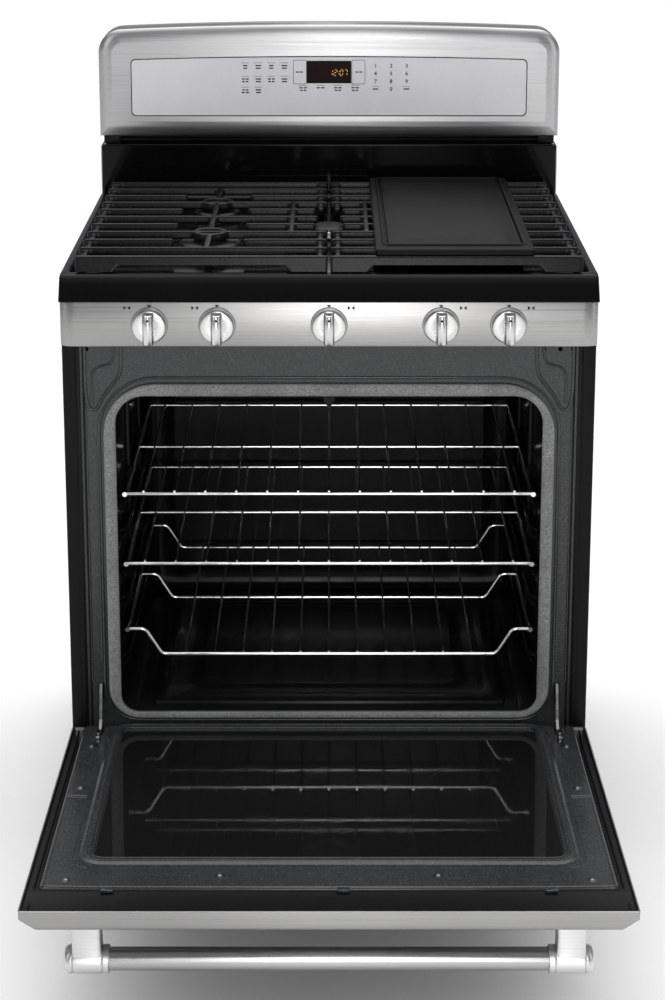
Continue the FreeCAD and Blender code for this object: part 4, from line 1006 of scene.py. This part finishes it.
def build_knob(k, knob, x, z):
    """A dished disc with a deep upright grip that has a rounded front and a pointer dot."""
    back, front = knob.y1, knob.y0
    radius = (knob.x1 - knob.x0) / 2
    face = back - 9
    disc = lathe([(back, radius - 1.5), (back - 1, radius - 0.4), (back - 2.5, radius),
                  (face + 1.6, radius), (face + 0.5, radius - 0.5), (face, radius - 1.6),
                  (face + 0.8, radius * 0.55), (face + 1.2, radius * 0.2), (face + 1.2, 0.5)],
                 (x, 0, z), "y", 96)
    wide = 7.6
    tall = radius - 1.8

    def section(height, inset):
        """The grip seen from above: straight cheeks and a half-round nose."""
        half = wide - inset
        nose = front + inset + half
        points = [(x - half, face + 2, z + height)]
        for j in range(17):
            turn = math.pi * j / 16
            points.append((x - half * math.cos(turn), nose - half * math.sin(turn), z + height))
        return points + [(x + half, face + 2, z + height)]

    grip = skin_rings([section(-tall, 1.6), section(-tall + 0.4, 0.7), section(-tall + 1.4, 0),
                       section(tall - 1.4, 0), section(tall - 0.4, 0.7), section(tall, 1.6)])
    finish_mesh(f"knob_face_{k}", [disc, grip], "knob", [f"knob_{k}"],
                body=f"knob_{k}")
    dot = lathe([(front + 0.6, 1.7), (front - 0.1, 1.7), (front - 0.15, 1.4)],
                (x, 0, z + tall - 7), "y", 24)
    finish_mesh(f"knob_pointer_{k}", dot, "ink", body=f"knob_{k}")


# ------------------------------------------------------------------ oven face and cavity

def mouth_loop(inset):
    """The mouth's outline grown by an inset; the upper corners are rounder than the lower."""
    liner = span("oven_liner")
    upper, lower = max(42 + inset, 6), max(26 + inset, 6)
    return round_rect(liner.x0 + 2 - inset, liner.x1 - 2 + inset, liner.z0 + 2 - inset,
                      liner.z1 - 2 + inset, (upper, upper, lower, lower), 12)


def build_face_frame():
    """The enamelled frame round the mouth with its pressed beads."""
    box = span("oven_front_frame")
    slots = [round_rect(side * HINGE_X - 4, side * HINGE_X + 4, *HINGE_SLOT, 2, 2)
             for side in (-1, 1)]
    outer = round_rect(box.x0, box.x1, box.z0, box.z1, 2, 2)
    holes = [circle(x, box.z1 - 10, 3, 12) for x in (-344, 305, 328, 346)]
    face = plate([outer, mouth_loop(0)] + slots + holes, 1.8, 0.4)
    parts = [face]
    for side in (-1, 1):
        def bead(points, radius, side=side):
            parts.append(tube([(side * x, 0.2, z) for x, z in points], radius))
        top = box.z1 - 2
        bead([(358, top), (358, 500), (358, box.z0 + 4)], 2.6)
        bead([(347, top - 92), (347, 500), (347, 300)], 1.7)
        bead([(347, top), (347, top - 60), (346, top - 78), (343, top - 92), (338, top - 98),
              (330, top - 96), (320, top - 74), (306, top - 58), (298, top - 46), (295, top - 34),
              (295, top)], 2.6)
        bead([(337, top - 88), (338, top - 60), (337, top - 42), (328, top - 33), (312, top - 31),
              (305, top - 22), (304, top)], 2.0)
        bead([(327, top - 104), (331, top - 130), (332, 560), (332, 400), (332, 330)], 2.0)
        dish = [(x * side, z) for x, z in ((340, top - 84), (341, top - 12), (309, top - 10),
                                           (309, top - 22), (318, top - 30), (330, top - 34),
                                           (335, top - 44), (335, top - 78))]
        parts.append(plate([dish], 0.5, 0.1, level=-0.2))
    parts.append(tube([(x, 0.2, box.z0 + 26) for x in (-300, 0, 300)], 1.6))
    seal = span("oven_gasket")
    step = round_rect(seal.x0 - 6, seal.x1 + 6, seal.z0 - 4, seal.z1 + 8, (80, 80, 50, 50), 8)
    parts.append(tube(facing(step, 0.3), 2.2, closed=True, order=2))
    edges = []
    for side in (-1, 1):
        edges.append(side_block(side, box.x1, box.x1 - 7, -2.4, 0.4, box.z0, box.z1, 0.8))
        edges.append(tube([(side * (box.x1 - 12), -0.2, z) for z in (box.z0 + 3, 500, box.z1 - 3)],
                          1.6))
    finish_mesh("oven_face_edges", edges, "paint")
    finish_mesh("oven_face", parts, "enamel", ["oven_front_frame"])


def build_gasket():
    """A flat woven sleeve round the mouth: two families of yarns that cross."""
    box = span("oven_gasket")
    outer = round_rect(box.x0 + 0.4, box.x1 - 0.4, box.z0 + 0.4, box.z1 - 0.4, (74, 74, 46, 46), 12)
    path = [(Vector(near), Vector(far)) for near, far in zip(mouth_loop(0), outer)]
    dense = []
    for (a, b), (c, d) in zip(path, path[1:] + path[:1]):
        steps = max(1, int(((a + b) / 2 - (c + d) / 2).length / 1.9))
        for k in range(steps):
            dense.append((a.lerp(c, k / steps), b.lerp(d, k / steps)))
    around = 26
    turns = round(len(dense) / 4.4)
    rings = []
    for j, (inside, outside) in enumerate(dense):
        middle = (inside + outside) / 2
        out = (outside - inside) / 2
        ring = []
        for k in range(around):
            turn = 2 * math.pi * k / around
            phase = 2 * math.pi * turns * j / len(dense)
            over = math.cos(phase + 6 * turn) * math.cos(phase - 6 * turn)
            swell = 1 + 0.08 * over
            spread = math.copysign(abs(math.cos(turn)) ** 0.8, math.cos(turn))
            point = middle + out * spread * swell
            y = -3.5 - 2.8 * (math.sin(turn) + 0.22 * math.sin(2 * turn)) * (1 + 0.22 * over)
            ring.append((point.x, y, point.y))
        rings.append(ring)
    finish_mesh("door_seal", skin_rings(rings, loop=True), "gasket",
                ["oven_gasket"], sharp=80)


def build_cavity():
    """The oven walls with their rack ledges, and the floor cover."""
    box = span("oven_liner")
    x1, z0, z1 = box.x1 - 2, box.z0 + 2, box.z1 - 2
    back = box.y1 - 2
    rings = [facing(mouth_loop(1.9), 1.6), facing(mouth_loop(0), 1.8), facing(mouth_loop(-0.4), 6)]
    for y in (60, 200, 340, back - 24):
        rings.append(facing(mouth_loop(-0.6), y))
    for k in range(1, 7):
        turn = math.radians(90 * k / 6)
        rings.append(facing(mouth_loop(-0.6 - 24 * (1 - math.cos(turn)) * 0.9),
                            back - 24 + 24 * math.sin(turn)))
    rings += [facing(mouth_loop(-42), back), facing(mouth_loop(-46), back - 3),
              facing(mouth_loop(-50), back - 3.4)]
    inside = skin_rings(rings, False, True)
    for face in inside.faces:
        face.normal_flip()
    outside = skin_rings([facing(mouth_loop(1.9), 1.6), facing(mouth_loop(1.9), back + 1),
                          facing(mouth_loop(-8), back + 1.9)], False, True)
    parts = [inside, outside]
    for side in (-1, 1):
        wall = side * x1
        for z in RACK_LEDGES:
            for lift, depth, radius in ((0, 9.5, 3.2), (-13, 5.5, 4.5)):
                x = wall - side * depth
                route = ((wall + side, 34), (x, 42), (x, 80), (x, 250), (x, 440), (x, 462),
                         (wall + side, 470))
                parts.append(tube([(at, y, z + lift) for at, y in route], radius, sides=4))
    for y in (150, 345):
        for side in (-1, 1):
            wall = side * (x1 - 2.5)
            parts.append(tube([(wall, y, z0 + 40), (wall, y, 500), (wall, y, z1 - 44)], 5, sides=4))
    finish_mesh("cavity_walls", parts, "cavity", ["oven_liner"])

    floor = span("oven_floor")
    section = ((0, floor.z0, 10), (0, floor.z0 + 3, 10), (1.5, floor.z1 - 0.6, 10),
               (4, floor.z1, 12), (26, floor.z1, 20), (30, floor.z1 - 0.8, 22),
               (36, floor.z0 + 2.6, 24), (60, floor.z0 + 2, 26), (64, floor.z0 + 3.4, 26),
               (72, floor.z0 + 3.6, 26))
    cover = skin_rings([top_ring(floor, inset, inset, z, corner) for inset, z, corner in section])
    finish_mesh("cavity_floor", cover, "cavity", ["oven_floor"])


def build_fan():
    """The fan's cover, pressed in rings."""
    box = span("fan_cover")
    x, z = box.x, box.z
    radius = (box.x1 - box.x0) / 2
    front = box.y0
    profile = [(box.y1, radius), (front + 10, radius), (front + 3, radius - 2), (front, radius - 8)]
    for ring in range(5):
        r = radius - 14 - ring * 10
        profile += [(front, r + 3), (front + 1.8, r + 1.5), (front + 1.8, r - 1.5), (front, r - 3)]
    profile += [(front, 6), (front + 0.2, 0.5)]
    finish_mesh("fan_grille", lathe(profile, (x, 0, z), "y", 96), "enamel",
                ["fan_cover"])


def build_broiler():
    """The broil burner's tube, its wavy radiant sheet and its hangers."""
    box = span("broil_burner")
    y0, y1, top = box.y0, box.y1, box.z1
    pipe = [(y0, 1), (y0, 8), (y0 + 2, 10), (y1, 10), (y1, 1)]
    parts = [lathe(pipe, (0, 0, box.z0 + 10), "y", 32)]
    rings = []
    for k in range(15):
        x = -110 + 220 * k / 14
        drop = 5.5 * abs(math.sin(x / 110 * math.pi)) + (7 if k in (0, 14) else 0)
        rings.append([(x, 60, top - drop), (x, 450, top - drop), (x, 450, top - drop - 1.4),
                      (x, 60, top - drop - 1.4)])
    parts.append(skin_rings(rings))
    for y in (100, 250, 400):
        parts.append(block(-14, 14, y, y + 14, box.z0 + 8, top, 1.2))
    finish_mesh("broiler", parts, "cavity", ["broil_burner"])


# ------------------------------------------------------------------ door

def build_door_skin():
    """The door's steel pan with rolled ends, and its outer glass."""
    box = span("door_skin")
    half, low, high, face = box.x1, box.z0, box.z1, box.y0
    glass = span("door_glass_outer")

    def loop(inset_x, inset_z, y):
        return front_ring(box, inset_x, inset_z, y)

    roll_x, roll_z, deep = 20.6, 30.0, 17.0
    rings = [loop(1.8, 1.8, box.y1), loop(0, 0, box.y1 - 0.4)]
    for inset_x, inset_z, height in ((0, 0, deep), (5, 0.2, 13.5), (10, 0.5, 10), (15, 1, 6.5),
                                     (18, 2, 4), (19.2, 5, 2.2), (20, 12, 0.8), (20.6, 30, 0)):
        rings.append(loop(inset_x, inset_z, face + height))
    walls = skin_rings(rings, False, False)
    inside = skin_rings([loop(1.8, 1.8, box.y1), loop(1.8, 1.8, face + deep + 2),
                         loop(roll_x + 2, 6, face + 6), loop(roll_x + 2, roll_z + 2, face + 2.6)],
                        False, False)
    window = round_rect(glass.x0 + 20, glass.x1 - 20, glass.z0 + 20, glass.z1 - 20, 10, 6)
    front = plate([round_rect(-half + roll_x - 0.4, half - roll_x + 0.4, low + roll_z - 0.4,
                              high - roll_z + 0.4, 4, 4), window], 1.6, 0.2, level=face + 0.02)
    finish_mesh("door_pan", [walls, inside, front], "door", ["door_skin"],
                body="door")
    pane = plate([round_rect(glass.x0, glass.x1, glass.z0, glass.z1, 8, 4)], 4, 0.5,
                 level=glass.y0)
    finish_mesh("door_glass_front", pane, "dark_glass", ["door_glass_outer"],
                body="door")


def build_door_liner():
    """The door's inner pan with its emboss, beads, edge channel and window."""
    box = span("door_liner")
    skin = span("door_skin")
    half, low, high, face = box.x1, box.z0, box.z1, box.y1
    inner = span("door_glass_inner")
    glass_low, glass_high = inner.z0 + 8, inner.z1 - 8
    glass_half = inner.x1 - 12

    def loop(side, bottom, top, corner, y):
        return facing(round_rect(-side, side, bottom, top, corner, 8), y)

    skirt = skin_rings([
        loop(half, low, high, 8, box.y0), loop(half, low, high, 8, face - 2.4),
        loop(half - 0.7, low + 0.7, high - 0.7, 8, face - 0.7),
        loop(half - 2, low + 2, high - 2, 7, face)], False, False)
    border = glass_half + 21
    border_low, border_high = low + 3, glass_high + 21
    flat = plate([round_rect(-half + 2, half - 2, low + 2, high - 2, 7, 8),
                  round_rect(-border, border, border_low, border_high, 34, 8)]
                 + [round_rect(side * HINGE_X - 5, side * HINGE_X + 5, low + 4, low + 84, 3, 3)
                    for side in (-1, 1)], 1.4, 0.05, level=face - 1.4)
    for vertex in flat.verts:
        vertex.co.y = 2 * face - 1.4 - vertex.co.y
    bmesh.ops.reverse_faces(flat, faces=flat.faces[:])
    emboss = [loop(border - inset, border_low + rise, border_high - inset, corner, face + lift)
              for inset, rise, corner, lift in ((0, 0, 34, 0), (1.5, 0.6, 33, 0.7),
                                                (4, 1.8, 31, 3.0), (6, 2.8, 29, 3.6),
                                                (12, 6, 24, 3.6), (14, 8, 22, 2.6))]
    emboss += [loop(glass_half + grow, glass_low - drop, glass_high + grow, corner, face + lift)
               for grow, drop, corner, lift in ((5, 3.5, 17, 1.2), (2, 2, 14, -0.6),
                                                (0, 0, 12, -4.6))]
    parts = [skirt, flat, skin_rings(emboss, False, False)]
    rib_z = low + 259
    for side in (-1, 1):
        def bead(points, radius, side=side):
            parts.append(tube([(side * x, face - 0.2, z) for x, z in points], radius))
        bead([(329, rib_z + 3), (343, rib_z + 3), (356, rib_z + 3)], 2.0)
        bead([(329, rib_z - 3), (343, rib_z - 3), (356, rib_z - 3)], 2.0)
        bead([(356, rib_z + 4), (356, rib_z + 140), (356, high - 3)], 1.0)
        bead([(329, rib_z + 4), (329, rib_z + 100), (329, border_high - 14), (326, border_high - 2),
              (318, border_high + 6), (306, border_high + 10)], 1.0)
    lip = ((-half + 4, high - 14), (-half + 4, high - 6), (-half + 12, high - 3), (0, high - 3),
           (half - 12, high - 3), (half - 4, high - 6), (half - 4, high - 14))
    parts.append(tube(facing(lip, face - 0.4), 2.2))
    for reach, low_reach, corner, lift in ((border - 5, border_low + 2.4, 30, 3.3),
                                           (glass_half + 4, glass_low - 3, 16, 1.4)):
        top_reach = border_high - 5 if lift > 3 else glass_high + 4
        parts.append(tube(loop(reach, low_reach, top_reach, corner, face + lift), 1.1, closed=True,
                          order=2))
    for x in (-275, 18, 276):
        parts.append(block(x - 8, x + 8, face - 3, face + 1.2, high - 1, high + 8, 0.8))
    finish_mesh("door_inner_pan", parts, "enamel", ["door_liner"], body="door")
    far = skin.z1 - 2.4
    channel = [skin_rings([
        [(x, face - 3.4, high - 5), (x, face - 2.2, high + 0.6), (x, face - 3.4, high + 5),
         (x, skin.y1 - 3.5, far - 6), (x, skin.y1 - 3.0, far), (x, skin.y1 - 6, far),
         (x, skin.y1 - 8, far - 8), (x, face - 8, high - 5)]
        for x in (-half - 14, half + 14)])]
    for side in (-1, 1):
        channel.append(side_block(side, half + 1, skin.x1 - 2.2, face - 12, face - 8,
                                  skin.z0 + 2.2, skin.z1 - 2.2, 0.8))
        channel.append(tube([(side * (half + 8), face - 7, z) for z in (low + 8, 500, skin.z1 - 6)],
                            1.6))
    finish_mesh("door_edge_channel", channel, "paint", body="door")
    funnel = skin_rings([
        loop(glass_half + 14, glass_low - 10, glass_high + 14, 8, inner.y0 - 0.2),
        loop(glass_half + 10, glass_low - 8, glass_high + 10, 10, inner.y0 - 0.4),
        loop(glass_half - 4, glass_low + 30, glass_high - 14, 12, inner.y0 - 14),
        loop(glass_half - 36, glass_low + 66, glass_high - 36, 14, skin.y0 + 6.6)], False, False)
    finish_mesh("door_window_frame", funnel, "paint", body="door")
    pane = plate([round_rect(inner.x0, inner.x1, inner.z0, inner.z1, 10, 4)],
                 inner.y1 - inner.y0, 0.5, level=inner.y0)
    finish_mesh("door_glass_back", pane, "glass", ["door_glass_inner"],
                body="door")
    build_door_screws(face)


def build_door_screws(face):
    """Pan-head screws with a round dimple in the middle, each in a shallow washer dish."""
    heads = []
    back = DOOR_TO_ROW.inverted()
    points = [back @ v.co for v in frame["nodes"]["door_screws"].data.vertices]
    centres = []
    for p in points:
        if all(math.hypot(p.x - c[0], p.z - c[1]) > 20 for c in centres):
            near = [q for q in points if math.hypot(p.x - q.x, p.z - q.z) < 12]
            centres.append((sum(q.x for q in near) / len(near), sum(q.z for q in near) / len(near)))
    for x, z in centres:
        heads.append(lathe([(-0.4, 6.4), (0.3, 6.2), (0.5, 5.2), (0.5, 4.2), (0.9, 4.1),
                            (1.7, 3.2), (2.1, 1.8), (1.2, 1.2), (0.9, 0.4)], (x, face, z), "y", 28))
    finish_mesh("door_screw_heads", heads, "screw", ["door_screws"], body="door")


def build_handle():
    """The handle's tube and its two brackets."""
    bar = span("door_handle_bar")
    feet = span("door_handle_brackets")
    skin = span("door_skin")
    y, z = bar.y, bar.z
    radius = (bar.y1 - bar.y0) / 2
    end = bar.x1 + 6
    rod = lathe([(-end, radius - 0.4), (-end + 0.5, radius), (0, radius), (end - 0.5, radius),
                 (end, radius - 0.4)], (0, y, z), "x", 64)
    finish_mesh("handle_rod", rod, "bar", ["door_handle_bar"], body="door")
    parts = []
    inner, outer = 273.0, 319.0
    sleeve = 18.2
    for side in (-1, 1):
        profile = [(inner, radius + 0.4), (inner, sleeve - 1.6), (inner + 0.8, sleeve - 0.6),
                   (inner + 7, sleeve - 0.4), (inner + 8, sleeve - 1.2), (inner + 9, sleeve - 0.2),
                   (inner + 10, sleeve), (outer - 2, sleeve), (outer - 1, sleeve - 1.1),
                   (outer, sleeve - 0.3), (outer + 2, sleeve), (feet.x1 - 4.5, sleeve - 1.4),
                   (feet.x1 - 1.5, sleeve - 5), (feet.x1 - 0.3, sleeve - 11), (feet.x1, 1)]
        parts.append(lathe([(side * a, r) for a, r in profile], (0, y, z), "x", 64))
        rings = []
        for k in range(9):
            t = k / 8
            grow = 1.0 + 0.10 * (2 * t - 1) ** 2
            depth = y + 2 + (skin.y0 - y - 2) * t
            left, right = side * inner + side * 9, side * outer
            cx, hw = (left + right) / 2, abs(right - left) / 2 - 0.5
            rings.append(facing(round_rect(cx - hw * grow, cx + hw * grow, z - 15 * grow,
                                           z + 15 * grow, 4.5, 4), depth))
        parts.append(skin_rings(rings))
    finish_mesh("handle_brackets", parts, "bracket", ["door_handle_brackets"],
                body="door")


# ------------------------------------------------------------------ drawer, sides and back

def build_drawer():
    """The drawer front with rolled ends."""
    box = span("drawer_front")
    rings = [front_ring(box, 0.3, 0.3, box.y1, 3), front_ring(box, 0, 0, box.y1 - 0.6),
             front_ring(box, 0, 0, box.y0 + 10)]
    for k in range(1, 7):
        turn = math.radians(90 * k / 6)
        away = 1 - math.cos(turn)
        rings.append(front_ring(box, 20 * away, 3 * away, box.y0 + 10 * (1 - math.sin(turn))))
    rings.append(front_ring(box, 30, 12, box.y0, 6))
    finish_mesh("drawer_fascia", skin_rings(rings), "door", ["drawer_front"],
                body="drawer")


def build_sides():
    """Folded side sheets with a hemmed front edge and a pressed bead loop on the outer face."""
    for side, name in ((-1, "left"), (1, "right")):
        box = span(f"side_panel_{name}")
        outer, inner = (box.x0, box.x1) if side < 0 else (box.x1, box.x0)
        deep = box.y1
        outline = [(outer, 2.0), (outer - side * 0.6, 0.6), (outer - side * 2.0, 0),
                   (inner, 0), (inner, 1.6), (outer - side * 1.6, 1.8),
                   (outer - side * 1.6, deep - 1.8), (inner, deep - 1.6), (inner, deep),
                   (outer - side * 2.0, deep), (outer - side * 0.6, deep - 0.6), (outer, deep - 2)]
        shell = skin_rings([lying(outline, z) for z in (box.z0, box.z1)])
        bead_x = outer - side * 0.9
        loop = round_rect(70, deep - 70, box.z0 + 90, box.z1 - 70, 26, 5)
        bead = tube([(bead_x, y, z) for y, z in loop], 1.0, closed=True)
        finish_mesh(f"side_sheet_{name}", [shell, bead], "paint",
                    [f"side_panel_{name}"])


def screw_at(x, y, z):
    """A hexagon washer-head screw that faces backwards."""
    return lathe([(0, 6), (0.8, 6), (1.2, 4.4), (4, 4.2), (4.6, 3.4), (4, 1.5), (3.6, 0.4)],
                 (x, y, z), "y", 6)


def build_back():
    """The rear sheets with louvres, beads, the gas inlet hole and screws."""
    box = span("rear_panel")
    cover = span("backguard_rear_cover")
    parts, hood = [], []
    inlet = circle(250, 130, 22, 32)
    slots = []
    for up in (760, 784):
        for column in range(-6, 7):
            x = column * 44
            slots.append(round_rect(x - 14, x + 14, up, up + 5, 2, 2))
            hood.append(skin_rings([
                [(x - 15, box.y1 - 0.4, up + 9), (x + 15, box.y1 - 0.4, up + 9),
                 (x + 15, box.y1 - 0.4, up - 1), (x - 15, box.y1 - 0.4, up - 1)],
                [(x - 13, box.y1 + 3, up + 6), (x + 13, box.y1 + 3, up + 6),
                 (x + 13, box.y1 + 4, up + 1), (x - 13, box.y1 + 4, up + 1)]]))
    sheet = plate([round_rect(box.x0 + 0.5, box.x1 - 0.5, box.z0, box.z1, 3, 2), inlet] + slots,
                  1.8, 0.3, level=box.y0 + 0.1)
    parts.append(sheet)
    for z in (box.z0 + 120, 430, box.z1 - 150):
        parts.append(tube([(x, box.y1, z) for x in (box.x0 + 60, 0, box.x1 - 60)], 3.0))
    screws = []
    pitch = (box.z1 - box.z0 - 60) / 4
    for side in (-1, 1):
        for k in range(5):
            screws.append(screw_at(side * 368, box.y1 - 0.2, box.z0 + 30 + k * pitch))
    for k in range(4):
        screws.append(screw_at(-300 + 200 * k, box.y1 - 0.2, box.z1 - 12))
    finish_mesh("rear_sheet", parts + hood, "zinc", ["rear_panel"])
    lid = [plate([round_rect(cover.x0, cover.x1, cover.z0, cover.z1, 12, 4)], 2, 0.4,
                 level=cover.y0)]
    bead = round_rect(cover.x0 + 24, cover.x1 - 24, cover.z0 + 30, cover.z1 - 24, 20, 4)
    lid.append(tube(facing(bead, cover.y1 - 0.2), 2.2, closed=True))
    finish_mesh("console_back_cover", lid, "zinc", ["backguard_rear_cover"])
    for k in range(5):
        screws.append(screw_at(-320 + 160 * k, cover.y1 - 0.2, cover.z1 - 10))
    finish_mesh("rear_screws", screws, "bright")


def build_feet():
    """Threaded levelling feet with lock nuts."""
    box = span("leveling_legs")
    base = span("base_frame")
    parts = []
    for x in FOOT_X:
        for y in FOOT_Y:
            profile = [(0.0, 13), (0.8, 15.4), (2.5, 16), (7, 16), (8.6, 14.5), (9.5, 9), (10, 6)]
            z = 10.0
            while z < box.z1 - 1.5:
                profile += [(z + 0.2, 5.0), (z + 1.0, 4.2)]
                z += 1.6
            profile += [(box.z1, 4.2)]
            parts.append(lathe(profile, (x, y, 0), "z", 28))
            parts.append(lathe([(-6, 5.2), (-6, 9), (-5.4, 9.6), (-1, 9.6), (-0.2, 9), (-0.2, 5.2)],
                               (x, y, base.z0), "z", 6))
    finish_mesh("threaded_feet", parts, "rubber", ["leveling_legs"])


# ------------------------------------------------------------------ stage

def build_stage():
    """The floor, the studio light and the camera."""
    bm = bmesh.new()
    bmesh.ops.create_grid(bm, x_segments=2, y_segments=2, size=30)
    ground = linked("studio_floor", joined(bm))
    ground.data.materials.append(M["floor"])

    world = bpy.data.worlds.new("studio")
    bpy.context.scene.world = world
    world.use_nodes = True
    nodes, links = world.node_tree.nodes, world.node_tree.links
    direction = nodes.new("ShaderNodeTexCoord")
    overhead = nodes.new("ShaderNodeVectorMath")
    overhead.operation = "DOT_PRODUCT"
    overhead.inputs[1].default_value = (0, 0.25, 0.968)
    fade = nodes.new("ShaderNodeValToRGB")
    fade.color_ramp.elements[0].position = 0.66
    fade.color_ramp.elements[0].color = (0.08, 0.082, 0.085, 1)
    fade.color_ramp.elements[1].position = 0.93
    fade.color_ramp.elements[1].color = (1, 1, 1, 1)
    links.new(direction.outputs["Generated"], overhead.inputs[0])
    links.new(overhead.outputs["Value"], fade.inputs["Fac"])
    links.new(fade.outputs["Color"], nodes["Background"].inputs["Color"])
    nodes["Background"].inputs["Strength"].default_value = 2.9

    def softbox(name, place, aim, wide, tall, power):
        light = bpy.data.lights.new(name, "AREA")
        light.shape = "RECTANGLE"
        light.size, light.size_y = wide, tall
        light.energy = power
        holder = linked(name, light)
        holder.location = place
        holder.rotation_euler = (Vector(aim) - Vector(place)).to_track_quat("-Z", "Y").to_euler()

    softbox("key", (0.1, -4.4, 1.7), (0, 0, 0.75), 0.7, 2.8, 42)
    softbox("side", (-2.6, -2.2, 2.4), (0, 0, 0.6), 1.2, 1.8, 12)
    softbox("fill", (2.8, -1.8, 2.0), (0, 0, 0.7), 1.0, 2.0, 8)
    bpy.context.scene.view_settings.view_transform = "Standard"

    camera = bpy.data.cameras.new("camera")
    holder = linked("camera", camera)
    distance, height, pitch = 3071.1, 1626.3, 13.735
    holder.location = TO_ROW @ Vector((0, -distance, height))
    holder.rotation_euler = (math.radians(90 - pitch), 0, 0)
    camera.lens = 80.76
    camera.sensor_width = 36
    camera.shift_y = -0.2
    camera.shift_x = 0.0035
    bpy.context.scene.camera = holder


build_stage()
build_backguard()
build_backsplash()
build_cooktop()
build_burners()
build_grate(-1, "left")
build_grate(1, "right")
build_griddle()
build_control_panel()
build_face_frame()
build_gasket()
build_cavity()
build_fan()
build_broiler()
build_door_skin()
build_door_liner()
build_handle()
build_drawer()
build_sides()
build_back()
build_feet()
paint_nodes("chrome", "oven_rack_upper", "oven_rack_middle", "oven_rack_lower")
paint_nodes("hinge", "hinge_arms")
paint_nodes("bright", "bake_burner", "convection_fan",
            *(f"knob_spindle_{k}" for k in range(1, KNOB_COUNT + 1)))
paint_nodes("paint", "base_frame")
paint_nodes("zinc", "fan_motor", "gas_manifold", "hinge_receivers", "drawer_rails",
            "door_hinge_channels", "drawer_pan")
paint_nodes("brass", "gas_valves")
paint_nodes("aluminium", "gas_regulator")

bpy.context.view_layer.update()
